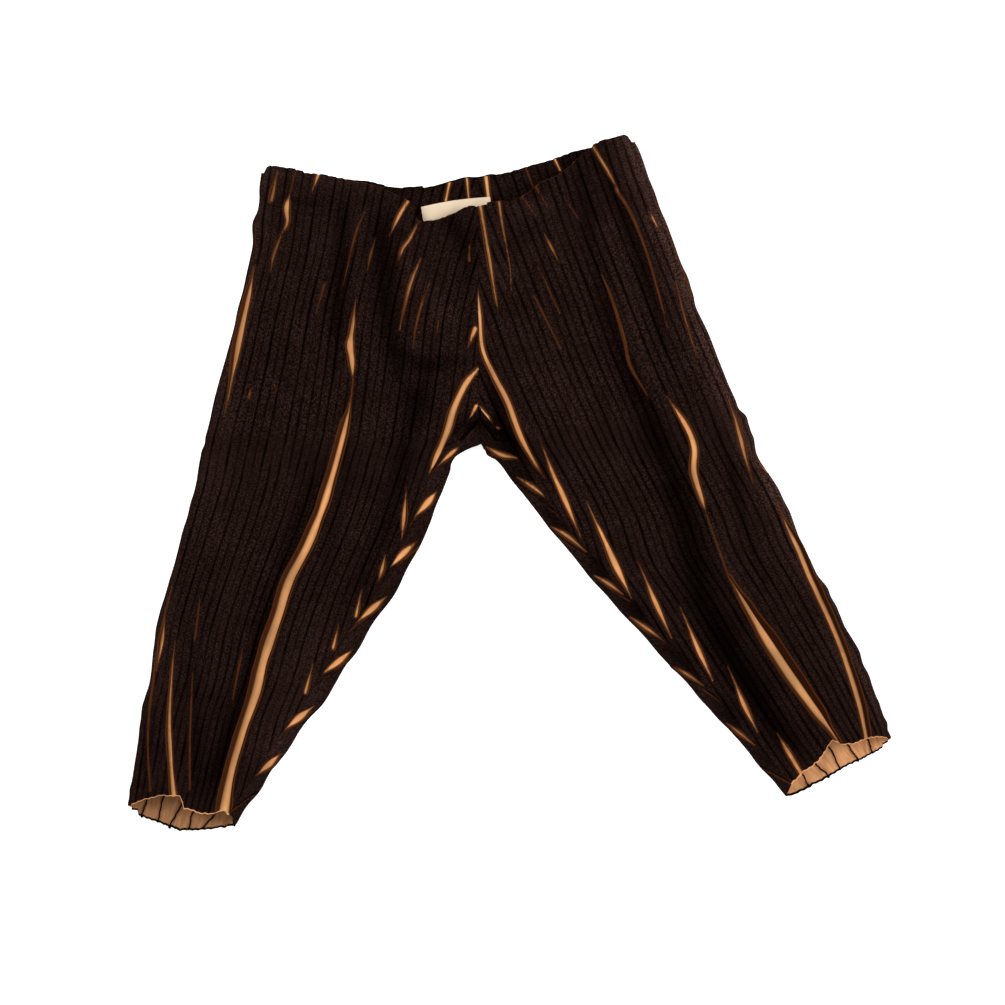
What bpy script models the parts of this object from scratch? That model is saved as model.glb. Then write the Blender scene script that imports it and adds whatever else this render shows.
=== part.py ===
"""Capri pants of fine two-tone pleated cloth, laid flat on their back with the waist towards +Y.

Each panel is one wall of cloth, lofted along its leg. Tables and named sizes are in millimetres.
"""
import math

import bmesh
import bpy
import numpy as np

MM = 0.001

# The cloth, its pleats and its seams
CLOTH = 1.5
SEAM_GAP = 0.3
PLEAT_RISE = 1.3
GROOVE_SHARE = 0.2  # of a pleat's width, from a groove's bottom to the pleat's full height
MOST_PLEATS = 20  # more than the widest row of one panel holds
BRAID_LEAN = 0.6  # how far down a diagonal groove ends at the inseam, as a share of the way to the next
BRAID_GROOVE = 0.33  # share of a diagonal pleat over which it rises to its full height

# How full the laid garment is
EDGE_RADIUS_WAIST = 6.5
EDGE_RADIUS_LEG = 9.0
RADIUS_STATIONS = 3.0  # from the waist to where the radius is a leg's
CROWN = 4.0
CROWN_REACH = 18.0
CASING_DEPTH = 42.0
CASING_PINCH = 1.6
CASING_WIDTH = 9.0

# Stations down a leg: 0 is the waist, CROTCH is where the legs part, HEM is the last
CROTCH = 5
HEM = 15
INSEAM_TOP = 4.43
STATIONS = "outer_x outer_y inner_x inner_y fold pitch wrap".split()
LEFT_STATIONS = [
    (-259, 330, -33, 322, 131, 20.5, 0),
    (-265, 289, -33, 274, 128, 19.4, 0),
    (-269, 247, -33, 225, 123, 18.3, 0),
    (-282, 192, -33, 169, 123, 18.2, 0),
    (-299, 124, -32, 106, 132, 18.2, 0),
    (-319, 49, -30, 41, 142, 18.0, 36),
    (-324, 24, -59, 23, 141, 17.7, 17),
    (-329, -2, -68, 1, 140, 17.5, 19),
    (-342, -46, -86, -46, 138, 17.3, 19),
    (-358, -102, -114, -104, 130, 17.3, 19),
    (-371, -153, -150, -159, 124, 17.3, 20),
    (-377, -203, -182, -211, 116, 16.8, 20),
    (-386, -241, -209, -248, 111, 16.3, 19),
    (-391, -279, -240, -289, 106, 15.8, 16),
    (-396, -312, -263, -323, 102, 14.7, 14),
    (-400, -340, -285, -354, 97, 13.7, 12),
]
RIGHT_STATIONS = [
    (128, 363, -33, 322, 80, 18.4, 0),
    (142, 324, -33, 274, 81, 17.8, 0),
    (158, 284, -33, 225, 83, 17.3, 0),
    (183, 221, -33, 169, 84, 17.3, 0),
    (206, 162, -32, 106, 85, 17.3, 0),
    (238, 87, -30, 41, 86, 17.3, 25),
    (248, 59, -19, 27, 86, 17.3, 25),
    (260, 32, -7, 13, 87, 17.3, 23),
    (290, -25, 33, -39, 89, 17.3, 21),
    (308, -67, 76, -90, 90, 17.3, 20),
    (332, -111, 109, -128, 88, 17.3, 19),
    (349, -144, 148, -169, 84, 16.8, 18),
    (369, -183, 190, -215, 78, 16.3, 16),
    (384, -221, 225, -256, 69, 15.8, 15),
    (393, -245, 260, -296, 60, 15.2, 14),
    (400, -269, 290, -328, 50, 14.7, 12),
]
# Stations where a diagonal pleat groove leaves a leg's inner edge, with one beyond each end
BRAID_STATIONS = [4.6, 5.6, 7.2, 8.3, 9.25, 10.3, 11.55, 12.85, 14.0, 15.2]
# How far below the first station each waist edge lies, by share of the way from side to centre
WAIST_EDGE = "share front back".split()
LEFT_WAIST = [
    (0.00, 10, 10), (0.03, 2, 2), (0.07, 0, 0), (0.13, 1, 0), (0.31, 6, 5), (0.50, 13, 9), (0.59, 18, 13),
    (0.68, 26, 14), (0.74, 35, 13), (0.78, 50, 12), (0.87, 48, 6), (0.94, 41, 1), (1.00, 32, 0),
]
RIGHT_WAIST = [
    (0.00, 7, 7), (0.02, 0, 0), (0.05, -4, -4), (0.24, -2, -2), (0.34, 6, -1), (0.42, 14, 0), (0.52, 20, 1),
    (0.64, 23, 2), (0.72, 30, 3), (0.77, 33, 3), (0.86, 35, 2), (1.00, 32, 0),
]
# How far beyond the last station each hem edge lies, by share of the way from side to inner edge
LEFT_HEM = [
    (0.00, 0, 0), (0.06, -5, 5), (0.16, -11, 9), (0.28, -17, 12), (0.44, -19, 15), (0.50, -6, 16),
    (0.65, -2, 14), (0.75, -3, 13), (0.84, -9, 10), (0.94, -4, 5), (1.00, 0, 0),
]
RIGHT_HEM = [
    (0.00, 0, 0), (0.06, -5, 2), (0.23, -12, 3), (0.36, -14, 2), (0.44, -21, 1), (0.52, -28, 2),
    (0.60, -20, 3), (0.70, -15, 3), (0.84, -14, 4), (0.91, -10, 3), (0.97, -2, 1), (1.00, 0, 0),
]
WAIST_FADE = 2.0  # stations over which an edge's rise or drop fades out
HEM_FADE = 2.0

# Folds that run down a leg along its pleats: first and last station, pleat line, half width, height
LONG_FOLDS = {
    "left": {
        "outer ridge": (8, 16, 3.4, 13, 5),
        "valley": (7.5, 16, 5.4, 12, -7),
        "inner ridge": (7, 16, 8.2, 10, 5),
    },
    "right": {
        "valley": (2, 16, 5.5, 10, -7),
        "ridge": (2, 16, 3.7, 13, 6),
    },
}
LONG_FOLD_FADE = 3.0  # stations over which a long fold rises from nothing
# Folds across or beside the pleats: start, middle and end of each, its half width and its height
SHORT_FOLDS = {
    "left inseam hollow": ((-99, 13), (-110, -39), (-131, -97), 12, -4),
    "right leg swell": ((53, 55), (137, -81), (221, -218), 22, 4),
    "front bulge": ((-77, 263), (-77, 202), (-77, 137), 30, 6),
    "bulge foot": ((-110, 116), (-73, 112), (-36, 122), 10, -4),
    "bulge side hollow": ((-121, 270), (-127, 213), (-130, 155), 10, -5),
    "hip hollow": ((-159, 255), (-167, 202), (-170, 144), 10, -4),
    "waist sag": ((-99, 291), (-66, 274), (-33, 286), 14, -4),
}
FOLD_MARGIN = 12.0  # over which a fold fades out towards the garment's edge
FOLD_POINTS = 13  # along a short fold's line
FOLD_ENDS = 0.1  # share of a half wave that a short fold starts and ends at

# The back waist's turned-in facing and its bare label, where they show
FACING = 1.2
FACING_DEPTH = 40.0
FACING_SHARE = (0.33, 0.28)
LABEL = 1.0
LABEL_LEFT = (-93.0, 290.0)
LABEL_RIGHT = (-20.5, 300.5)
LABEL_DEPTH = 30.0
LABEL_RIPPLE = 0.5
LABEL_RIPPLES = 3.5

# Grids
RISE_ROWS = [0, 0.5, 1, 1.5, 2, 2.5, 3, 3.5, 4, INSEAM_TOP, 4.6, 4.8]
ROWS_PER_BRAID = 3
LAST_ROW_GAP = 0.1
MIN_CELL = 1.5
SIDE_SEAM_ANGLE = -45
SIDE_ANGLES = [SIDE_SEAM_ANGLE, -12, 22, 56]
UNDER_ANGLES = [-68, -90]
FLOOR_SHARES = [0.25, 0.5, 0.75]
INNER_ANGLES = [-90, -58, -28, 0, 30, 60, 90]
WRAP_SHARES = [0.5, 1.0]
# Across one pleat: share of its width, and how far the cloth rises there
PLEAT_COLUMNS = [(0.0, 0.0), (GROOVE_SHARE, PLEAT_RISE), (1 - GROOVE_SHARE, PLEAT_RISE)]
FACING_COLUMNS, FACING_ROWS = 8, 3
FACING_INSET = 1.0  # of the facing's top from the waist's edge
LABEL_COLUMNS, LABEL_ROWS = 15, 3
SHARP_ANGLE = 40

COLOURS = {
    "pleated_cloth": (0.030, 0.017, 0.014),
    "facing_cloth": (0.026, 0.015, 0.012),
    "label_cloth": (0.62, 0.56, 0.44),
}
CLOTH_ROUGHNESS = 0.85


def smooth_column(values, r, corner):
    """Read a table's column at any station, smoothly, with a corner left at one station.

    It runs on straight past the first and the last one.
    """
    r = np.asarray(r, float)
    read = np.empty_like(r)
    for first, last in ((0, corner), (corner, len(values) - 1)):
        part = np.array(values[first:last + 1], float)
        slope = np.gradient(part)
        here = r <= last if first == 0 else r > first
        beyond = np.minimum(r[here] - first, 0) + np.maximum(r[here] - last, 0)
        at = r[here] - first - beyond
        k = np.clip(at.astype(int), 0, len(part) - 2)
        t = at - k
        read[here] = ((2 * t**3 - 3 * t**2 + 1) * part[k] + (t**3 - 2 * t**2 + t) * slope[k]
                      + (3 * t**2 - 2 * t**3) * part[k + 1] + (t**3 - t**2) * slope[k + 1]
                      + beyond * slope[np.where(beyond < 0, 0, k + 1)])
    return read


class Leg:
    """One half of the garment, from the side edge to the centre line or the leg's inner edge."""

    def __init__(self, name, stations, waist, hem, first_pleat, fold_pleat, turn):
        self.name = name
        self.columns = {key: [row[k] for row in stations] for k, key in enumerate(STATIONS)}
        self.waist = {key: [row[k] for row in waist] for k, key in enumerate(WAIST_EDGE)}
        self.hem = {key: [row[k] for row in hem] for k, key in enumerate(WAIST_EDGE)}
        self.first_pleat = first_pleat
        self.fold_pleat = fold_pleat
        self.turn = turn

    def read(self, column, r):
        return smooth_column(self.columns[column], r, CROTCH)

    def width(self, r):
        return np.hypot(self.read("inner_x", r) - self.read("outer_x", r),
                        self.read("inner_y", r) - self.read("outer_y", r))

    def plan(self, r, across):
        share = across / self.width(r)
        x = self.read("outer_x", r) * (1 - share) + self.read("inner_x", r) * share
        y = self.read("outer_y", r) * (1 - share) + self.read("inner_y", r) * share
        return x, y

    def wrap(self, r):
        """How far the back panel comes round on to the front, 0 where the centre seam is."""
        start = np.clip((r - INSEAM_TOP) / (CROTCH - INSEAM_TOP), 0, 1) * self.columns["wrap"][CROTCH]
        return np.where(r < CROTCH, start, self.read("wrap", r))

    def pleat_place(self, r, pleat):
        """Distance from the side edge of a pleat line, whose count starts at that edge."""
        fold, pitch = self.read("fold", r), self.read("pitch", r)
        return np.where(pleat < self.fold_pleat, pleat * fold / self.fold_pleat,
                        fold + (pleat - self.fold_pleat) * pitch)

    def pleat_at(self, r, across):
        fold, pitch = self.read("fold", r), self.read("pitch", r)
        return np.where(across < fold, across / fold * self.fold_pleat,
                        self.fold_pleat + (across - fold) / pitch)

    def edge_shift(self, row, share, layer):
        """Stations by which a row near the waist or the hem moves to follow that edge.

        The layer is "front", "back", or for each point whether it is front.
        """
        if not isinstance(layer, str):
            return np.where(layer, self.edge_shift(row, share, "front"), self.edge_shift(row, share, "back"))
        waist = np.interp(share, self.waist["share"], self.waist[layer])
        hem = np.interp(share, self.hem["share"], self.hem[layer])
        waist_step = self.step_length(0, 1, share)
        hem_step = self.step_length(HEM - 1, HEM, share)
        return (waist / waist_step * np.clip(1 - row / WAIST_FADE, 0, 1)
                + hem / hem_step * np.clip((row - HEM + HEM_FADE) / HEM_FADE, 0, 1))

    def step_length(self, one, other, share):
        one, other = (np.full_like(share, station, dtype=float) for station in (one, other))
        xa, ya = self.plan(one, share * self.width(one))
        xb, yb = self.plan(other, share * self.width(other))
        return np.hypot(xb - xa, yb - ya)


LEFT = Leg("left", LEFT_STATIONS, LEFT_WAIST, LEFT_HEM, first_pleat=0.5, fold_pleat=7.5, turn=1)
RIGHT = Leg("right", RIGHT_STATIONS, RIGHT_WAIST, RIGHT_HEM, first_pleat=0.7, fold_pleat=4.7, turn=-1)


def edge_radius(r):
    t = np.clip(r / RADIUS_STATIONS, 0, 1)
    return EDGE_RADIUS_WAIST + (EDGE_RADIUS_LEG - EDGE_RADIUS_WAIST) * t * t * (3 - 2 * t)


def short_fold_height(x, y):
    """Sum of the short folds: each is a ridge or trough along a bent line, faded at both ends."""
    height = np.zeros_like(x)
    for start, middle, end, half_width, rise in SHORT_FOLDS.values():
        t = np.linspace(0, 1, FOLD_POINTS)[:, None]
        bend = 2 * np.array(middle) - (np.array(start) + np.array(end)) / 2
        line = (1 - t)**2 * start + 2 * t * (1 - t) * bend + t**2 * end
        gap = np.hypot(x[..., None] - line[:, 0], y[..., None] - line[:, 1])
        along = np.sin(math.pi * (FOLD_ENDS + (1 - 2 * FOLD_ENDS) * t[gap.argmin(-1), 0]))
        height += rise * along * np.exp(-(gap.min(-1) / half_width)**2)
    return height


def long_fold_height(leg, r, across):
    """Sum of the folds that follow this leg's pleats down to its hem."""
    height, pleat = np.zeros_like(r), leg.pleat_at(r, across)
    for first, last, line, half_width, rise in LONG_FOLDS[leg.name].values():
        gap = (pleat - line) * leg.read("pitch", r)
        fade = np.clip((r - first) / LONG_FOLD_FADE, 0, 1) * (r < last)
        height += rise * fade * fade * (3 - 2 * fade) * np.exp(-(gap / half_width)**2)
    return height


def top_height(leg, r, across):
    """Height of the upper layer's outer face above the floor."""
    x, y = leg.plan(r, across)
    radius = edge_radius(r)
    crotch_x, crotch_y = leg.columns["inner_x"][CROTCH], leg.columns["inner_y"][CROTCH]
    inner = np.where(r < CROTCH, np.hypot(x - crotch_x, y - crotch_y), leg.width(r) - across)
    inset = np.minimum(across, inner)
    full = np.clip((inset - radius) / FOLD_MARGIN, 0, 1)
    share = np.clip(across / leg.width(r), 0, 1)
    waist_drop = np.interp(share, leg.waist["share"], leg.waist["front"])
    below_edge = r * leg.step_length(0, 1, share) - waist_drop
    pinch = CASING_PINCH * np.exp(-((below_edge - CASING_DEPTH) / CASING_WIDTH)**2)
    crown = CROWN * (1 - np.exp(-np.maximum(inset - radius, 0) / CROWN_REACH))
    folds = short_fold_height(x, y) + long_fold_height(leg, r, across)
    round_part = np.sqrt(np.maximum(radius**2 - (radius - np.minimum(inset, radius))**2, 0))
    return radius + round_part + crown + full * (folds - pinch)


def section_point(leg, r, s, inner=False):
    """Outer face of the cloth at station r, s along its section.

    On top s is the distance from the side edge, or from the inner edge. Below the edge radius it
    runs on round the edge and along the floor.
    """
    radius = edge_radius(r)
    floor = radius * (1 - math.pi)
    angle = np.clip((s - radius) / radius + math.pi / 2, -math.pi / 2, math.pi / 2)
    inset = np.where(s >= radius, s, np.where(s >= floor, radius * (1 - np.cos(angle)), radius + floor - s))
    across = leg.width(r) - inset if inner else inset
    x, y = leg.plan(r, across)
    z = np.where(s >= radius, top_height(leg, r, across), radius * (1 + np.sin(angle)))
    return np.stack([x, y, z], -1)


def section_normal(leg, r, s, inner=False):
    """Unit normal out of the cloth's outer face."""
    small_r, small_s = 0.01, 0.3
    before = np.where((r >= CROTCH) & (r - small_r < CROTCH), r, r - small_r)
    down = section_point(leg, r + small_r, s, inner) - section_point(leg, before, s, inner)
    over = section_point(leg, r, s + small_s, inner) - section_point(leg, r, s - small_s, inner)
    normal = np.cross(down, over) * (leg.turn * (-1 if inner else 1))
    return normal / np.linalg.norm(normal, axis=-1, keepdims=True)


def angle_place(r, degrees):
    """The s of an angle on a rounded edge: 90 is its top, 0 its outermost line, -90 the floor."""
    radius = edge_radius(r)
    return radius + radius * math.radians(degrees - 90)


def plan_place(r, across):
    """The s of a point on top at a plan distance from the edge."""
    radius = edge_radius(r)
    return np.where(across >= radius, across, radius - radius * np.arcsin(np.clip(1 - across / radius, 0, 1)))


def leg_rows():
    """Rows below the crotch: as many for each diagonal groove, and the hem."""
    rows = [float(CROTCH)]
    for here, after in zip(BRAID_STATIONS, BRAID_STATIONS[1:]):
        rows += [here + (after - here) * k / ROWS_PER_BRAID for k in range(ROWS_PER_BRAID)]
    return [row for row in rows if CROTCH <= row < HEM - LAST_ROW_GAP] + [float(HEM)]


def braid_relief(row, inset_share):
    """Height of the diagonal pleats where the back panel comes round the leg's inner edge."""
    phase = np.interp(row, BRAID_STATIONS, range(len(BRAID_STATIONS))) - BRAID_LEAN * inset_share
    away = abs(phase - round(float(phase)))
    return PLEAT_RISE * min(1.0, away / BRAID_GROOVE)


class Sheet:
    """Points of a cloth's two faces and the cells between them, joined into one closed wall."""

    def __init__(self):
        self.outside, self.inside, self.cells = [], [], []

    def add(self, outside, inside):
        self.outside.append(outside)
        self.inside.append(inside)
        return len(self.outside) - 1

    def add_row(self, leg, row, columns, inner=False):
        """Columns are (s at a station, plan share, layer, relief); gives the row's point numbers."""
        share = np.array([column[1] for column in columns])
        on_front = np.array([column[2] == "front" for column in columns])
        relief = np.array([column[3] for column in columns])[:, None]
        r = row + leg.edge_shift(np.full_like(share, row), share, on_front)
        s = np.array([float(column[0](r[k:k + 1])[0]) for k, column in enumerate(columns)])
        point = section_point(leg, r, s, inner)
        normal = section_normal(leg, r, s, inner)
        return [self.add(*faces) for faces in zip(point + normal * relief, point - normal * CLOTH)]

    def cell(self, *numbers):
        corners = [n for k, n in enumerate(numbers) if n not in numbers[:k]]
        if len(corners) > 2:
            self.cells.append(corners)

    def join_rows(self, upper, lower):
        for k in range(len(upper) - 1):
            self.cell(upper[k], lower[k], lower[k + 1], upper[k + 1])

    def solid(self, name, material):
        """Both faces, and a rim along every edge that only one cell has."""
        count = len(self.outside)
        faces = [list(c) for c in self.cells] + [[n + count for n in reversed(c)] for c in self.cells]
        sides = {}
        for corners in self.cells:
            for a, b in zip(corners, corners[1:] + corners[:1]):
                sides[(a, b)] = sides.get((a, b), 0) + 1
        faces += [[b, a, a + count, b + count] for a, b in sides if (b, a) not in sides]
        points = [tuple(float(v) * MM for v in point) for point in self.outside + self.inside]
        mesh = bpy.data.meshes.new(name)
        mesh.from_pydata(points, [], faces)
        work = bmesh.new()
        work.from_mesh(mesh)
        bmesh.ops.delete(work, geom=[v for v in work.verts if not v.link_faces], context="VERTS")
        bmesh.ops.triangulate(work, faces=work.faces[:])
        bmesh.ops.recalc_face_normals(work, faces=work.faces[:])
        work.to_mesh(mesh)
        work.free()
        mesh.shade_smooth()
        mesh.set_sharp_from_angle(angle=math.radians(SHARP_ANGLE))
        mesh.materials.append(material)
        return bpy.data.objects.new(name, mesh)


def front_panel(leg, material):
    """From the side seam round the side edge and over the top to the centre seam and the inseam."""
    sheet, previous = Sheet(), None
    pleats = [(leg.first_pleat + k + part, rise) for k in range(MOST_PLEATS) for part, rise in PLEAT_COLUMNS]
    for row in RISE_ROWS + leg_rows():
        at = np.array([float(row)])
        width = float(leg.width(at)[0])
        limit = width - float(leg.wrap(at)[0]) - SEAM_GAP / 2
        edge = (lambda r: leg.width(r) - leg.wrap(r) - SEAM_GAP / 2, limit / width, "front", 0.0)
        columns = [(lambda r: angle_place(r, SIDE_SEAM_ANGLE), 0.0, "front", 0.0)]
        for degrees in SIDE_ANGLES[1:]:
            columns.append((lambda r, a=degrees: angle_place(r, a), 0.0, "front", PLEAT_RISE))
        for pleat, relief in pleats:
            across = float(leg.pleat_place(at, pleat)[0])
            if across < limit - MIN_CELL:
                columns.append((lambda r, p=pleat: plan_place(r, leg.pleat_place(r, p)),
                                across / width, "front", relief))
        columns.append(edge)
        full = len(SIDE_ANGLES) + len(pleats) + 1
        numbers = sheet.add_row(leg, row, columns)
        numbers += [numbers[-1]] * (full - len(numbers))
        if previous:
            sheet.join_rows(previous, numbers)
        previous = numbers
    return sheet.solid(f"front_panel_{leg.name}", material)


def back_panel(leg, material):
    """Flat on the floor, up round the side to its seam, and round each leg's inner edge to the inseam."""
    sheet = Sheet()
    under = [(lambda r: angle_place(r, SIDE_SEAM_ANGLE) - SEAM_GAP, 0.0, "back", 0.0)]
    for degrees in UNDER_ANGLES:
        under.append((lambda r, a=degrees: angle_place(r, a), 0.0, "back", 0.0))
    for share in FLOOR_SHARES:
        under.append((lambda r, f=share: floor_place(r, f * leg.width(r)), share, "back", 0.0))
    previous_under = previous_over = None
    for row in RISE_ROWS + leg_rows():
        numbers = sheet.add_row(leg, row, under)
        if row < CROTCH:
            numbers += flat_end(sheet, leg, row)
            over = flap_row(sheet, leg, row) if row > INSEAM_TOP else None
        else:
            ring = round_and_wrap(sheet, leg, row)
            lower = INNER_ANGLES.index(0) + 1
            numbers += ring[:lower]
            over = ring[lower - 1:]
        if previous_under:
            sheet.join_rows(previous_under, numbers)
        if previous_over and over:
            sheet.join_rows(previous_over, over)
        previous_under, previous_over = numbers, over
    return sheet.solid(f"back_panel_{leg.name}", material)


def floor_place(r, across):
    radius = edge_radius(r)
    return radius + radius * (1 - math.pi) - across


def flat_end(sheet, leg, row):
    """Above the crotch the back panel ends flat, at the centre back seam."""
    columns = []
    at = np.array([float(row)])
    for degrees in INNER_ANGLES[:INNER_ANGLES.index(0) + 1]:
        inset = float(edge_radius(at)[0]) * (1 - math.cos(math.radians(degrees))) + SEAM_GAP / 2
        share = 1 - inset / float(leg.width(at)[0])
        columns.append((lambda r, i=inset: floor_place(r, leg.width(r) - i), share, "back", 0.0))
    return sheet.add_row(leg, row, columns)


def inner_insets(r):
    """Plan distances from the inner edge of the columns that lie on top there, edge line first."""
    radius = float(edge_radius(r)[0])
    return [radius * (1 - math.cos(math.radians(a))) for a in INNER_ANGLES[INNER_ANGLES.index(0):]]


def flap_row(sheet, leg, row):
    """Just above the crotch the back panel's two points lie on top, either side of the centre."""
    at, crotch = np.array([float(row)]), np.array([float(CROTCH)])
    whole, wrap = float(leg.wrap(crotch)[0]), float(leg.wrap(at)[0])
    radius = float(edge_radius(crotch)[0])
    insets = inner_insets(crotch) + [radius + (whole - radius) * f for f in WRAP_SHARES]
    width = float(leg.width(at)[0])
    columns = []
    for inset in insets:
        scaled = SEAM_GAP / 2 + inset / whole * (wrap - SEAM_GAP)
        columns.append((lambda r, i=scaled: leg.width(r) - i, 1 - scaled / width, "front", 0.0))
    return sheet.add_row(leg, row, columns)


def round_and_wrap(sheet, leg, row):
    """Below the crotch: the rounded inner edge, then the strip on top as far as the inseam."""
    at = np.array([row])
    wrap, width = float(leg.wrap(at)[0]) - SEAM_GAP / 2, float(leg.width(at)[0])
    radius = float(edge_radius(at)[0])
    columns = []
    for degrees in INNER_ANGLES:
        inset = radius * (1 - math.cos(math.radians(degrees)))
        relief = braid_relief(row, inset / wrap) if degrees >= 0 and row > CROTCH else 0.0
        layer = "front" if degrees > 0 else "back"
        columns.append((lambda r, a=degrees: angle_place(r, a), 1 - inset / width, layer, relief))
    for share in WRAP_SHARES:
        inset = radius + (wrap - radius) * share
        relief = braid_relief(row, inset / wrap) if share < 1 and row > CROTCH else 0.0
        columns.append((lambda r, f=share: edge_radius(r) + (leg.wrap(r) - SEAM_GAP / 2 - edge_radius(r)) * f,
                        1 - inset / width, "front", relief))
    return sheet.add_row(leg, row, columns, inner=True)


def waist_facing(material):
    """The back waist's edge turned in: one strip across the centre, just above both back panels."""
    sheet, places = Sheet(), []
    for leg, share in ((LEFT, FACING_SHARE[0]), (RIGHT, FACING_SHARE[1])):
        places.append([(leg, f) for f in np.linspace(share, 1, FACING_COLUMNS)])
    columns = places[0] + places[1][-2::-1]
    low, previous = CLOTH + SEAM_GAP, None
    for down in np.linspace(FACING_INSET, FACING_DEPTH, FACING_ROWS):
        numbers = []
        for leg, share in columns:
            at = np.array([0.0])
            part = np.array([share])
            r = leg.edge_shift(at, part, "back") + down / leg.step_length(0, 1, part)
            x, y = leg.plan(r, part * leg.width(r))
            top = np.array([x[0], y[0], low + FACING])
            numbers.append(sheet.add(top, top - (0, 0, FACING)))
        if previous:
            sheet.join_rows(previous, numbers)
        previous = numbers
    return sheet.solid("waist_facing", material)


def waist_label(material):
    """A bare woven label on the facing, with a slight ripple."""
    sheet, previous = Sheet(), None
    left, right = np.array(LABEL_LEFT), np.array(LABEL_RIGHT)
    along = (right - left) / np.linalg.norm(right - left)
    down = np.array([along[1], -along[0]])
    low = CLOTH + FACING + 2 * SEAM_GAP
    for depth in np.linspace(0, LABEL_DEPTH, LABEL_ROWS):
        numbers = []
        for share in np.linspace(0, 1, LABEL_COLUMNS):
            x, y = left + (right - left) * share + down * depth
            ripple = LABEL_RIPPLE * (1 - math.cos(2 * math.pi * LABEL_RIPPLES * share)) / 2
            numbers.append(sheet.add(np.array([x, y, low + ripple + LABEL]), np.array([x, y, low + ripple])))
        if previous:
            sheet.join_rows(previous, numbers)
        previous = numbers
    return sheet.solid("waist_label", material)


def cloth_material(name):
    material = bpy.data.materials.new(name)
    material.use_nodes = True
    shader = material.node_tree.nodes["Principled BSDF"]
    shader.inputs["Base Color"].default_value = (*COLOURS[name], 1)
    shader.inputs["Roughness"].default_value = CLOTH_ROUGHNESS
    shader.inputs["Metallic"].default_value = 0.0
    return material


def clear_scene():
    for thing in list(bpy.data.objects):
        bpy.data.objects.remove(thing, do_unlink=True)


def settle(things):
    """Move the whole garment so that it stands at the middle of its own footprint, on the floor."""
    points = np.array([v.co[:] for thing in things for v in thing.data.vertices])
    low, high = points.min(0), points.max(0)
    shift = (-(low[0] + high[0]) / 2, -(low[1] + high[1]) / 2, -low[2])
    for thing in things:
        for vertex in thing.data.vertices:
            vertex.co = [value + move for value, move in zip(vertex.co, shift)]
    print("moved by", [round(float(v) / MM, 2) for v in shift], "mm")
    print("size", [round(float(v) / MM, 1) for v in high - low], "mm")


def build():
    clear_scene()
    collection = bpy.data.collections.new("capri_pants")
    bpy.context.scene.collection.children.link(collection)
    cloth, facing, label = (cloth_material(name) for name in COLOURS)
    things = [front_panel(leg, cloth) for leg in (LEFT, RIGHT)]
    things += [back_panel(leg, cloth) for leg in (LEFT, RIGHT)]
    things += [waist_facing(facing), waist_label(label)]
    settle(things)
    for thing in things:
        collection.objects.link(thing)
        print(thing.name, len(thing.data.polygons), "triangles")


build()
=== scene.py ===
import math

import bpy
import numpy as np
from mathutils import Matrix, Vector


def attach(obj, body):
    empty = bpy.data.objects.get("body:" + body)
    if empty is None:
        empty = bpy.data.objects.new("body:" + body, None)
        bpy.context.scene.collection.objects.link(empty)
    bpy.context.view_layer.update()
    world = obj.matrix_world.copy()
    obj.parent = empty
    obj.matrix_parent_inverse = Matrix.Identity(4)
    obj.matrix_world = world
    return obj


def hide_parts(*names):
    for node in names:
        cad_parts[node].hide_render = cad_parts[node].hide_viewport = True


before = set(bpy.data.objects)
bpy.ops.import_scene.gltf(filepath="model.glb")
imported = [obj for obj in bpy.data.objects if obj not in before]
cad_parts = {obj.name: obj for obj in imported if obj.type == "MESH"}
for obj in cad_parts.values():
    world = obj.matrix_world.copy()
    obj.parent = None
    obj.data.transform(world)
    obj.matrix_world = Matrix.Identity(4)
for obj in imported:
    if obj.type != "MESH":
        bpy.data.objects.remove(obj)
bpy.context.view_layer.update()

# %% [markdown]
# # Capri pants of two-tone pleated cloth, laid flat
# These pants are knife-pleated from waist to hem. The cloth is dark brown on its face and tan in the
# depth of each fold, so a pleat that opens shows a tan sliver with a thin burnt-orange rim.
# A maker would weave or print the cloth in two tones, pleat it with heat, cut the panels and sew them.
#
# The plan here has the same order: one set of sizes, one curved surface for each leg, then four panels of
# thin cloth on that surface, the waist's facing and label, and the sewing and threads on top.

MM = 0.001


def placed(name, data):
    """A new object in the scene."""
    thing = bpy.data.objects.new(name, data)
    bpy.context.scene.collection.objects.link(thing)
    return thing


# %% [markdown]
# ## Sizes of the laid garment
# Each leg is described by stations down its length. A station gives where the leg's outer and inner edges
# are, where its long fold runs, how wide a pleat is there, and how far the back panel comes round on to the
# front. These are the solid part's own sizes, but for a few edges that were read more closely, so the cloth
# lies on the solid's form. All values are in millimetres, with the waist towards +Y.

# %% Named sizes and tables
CLOTH = 1.0
SEAM_GAP = 0.04
PITCH = 17.3  # the usual width of a pleat
PLEAT_RISE = 1.3
BRAID_LEAN = 0.6
EDGE_RADIUS_WAIST = 6.5
EDGE_RADIUS_LEG = 9.0
RADIUS_STATIONS = 3.0
CROWN = 4.0
CROWN_REACH = 18.0
CASING_DEPTH = 42.0
CASING_PINCH = 2.2
CASING_WIDTH = 6.0
SETTLED = np.array((0.01, -0.93, 0.0))  # from the tables' origin to the middle of the garment's footprint

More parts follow.
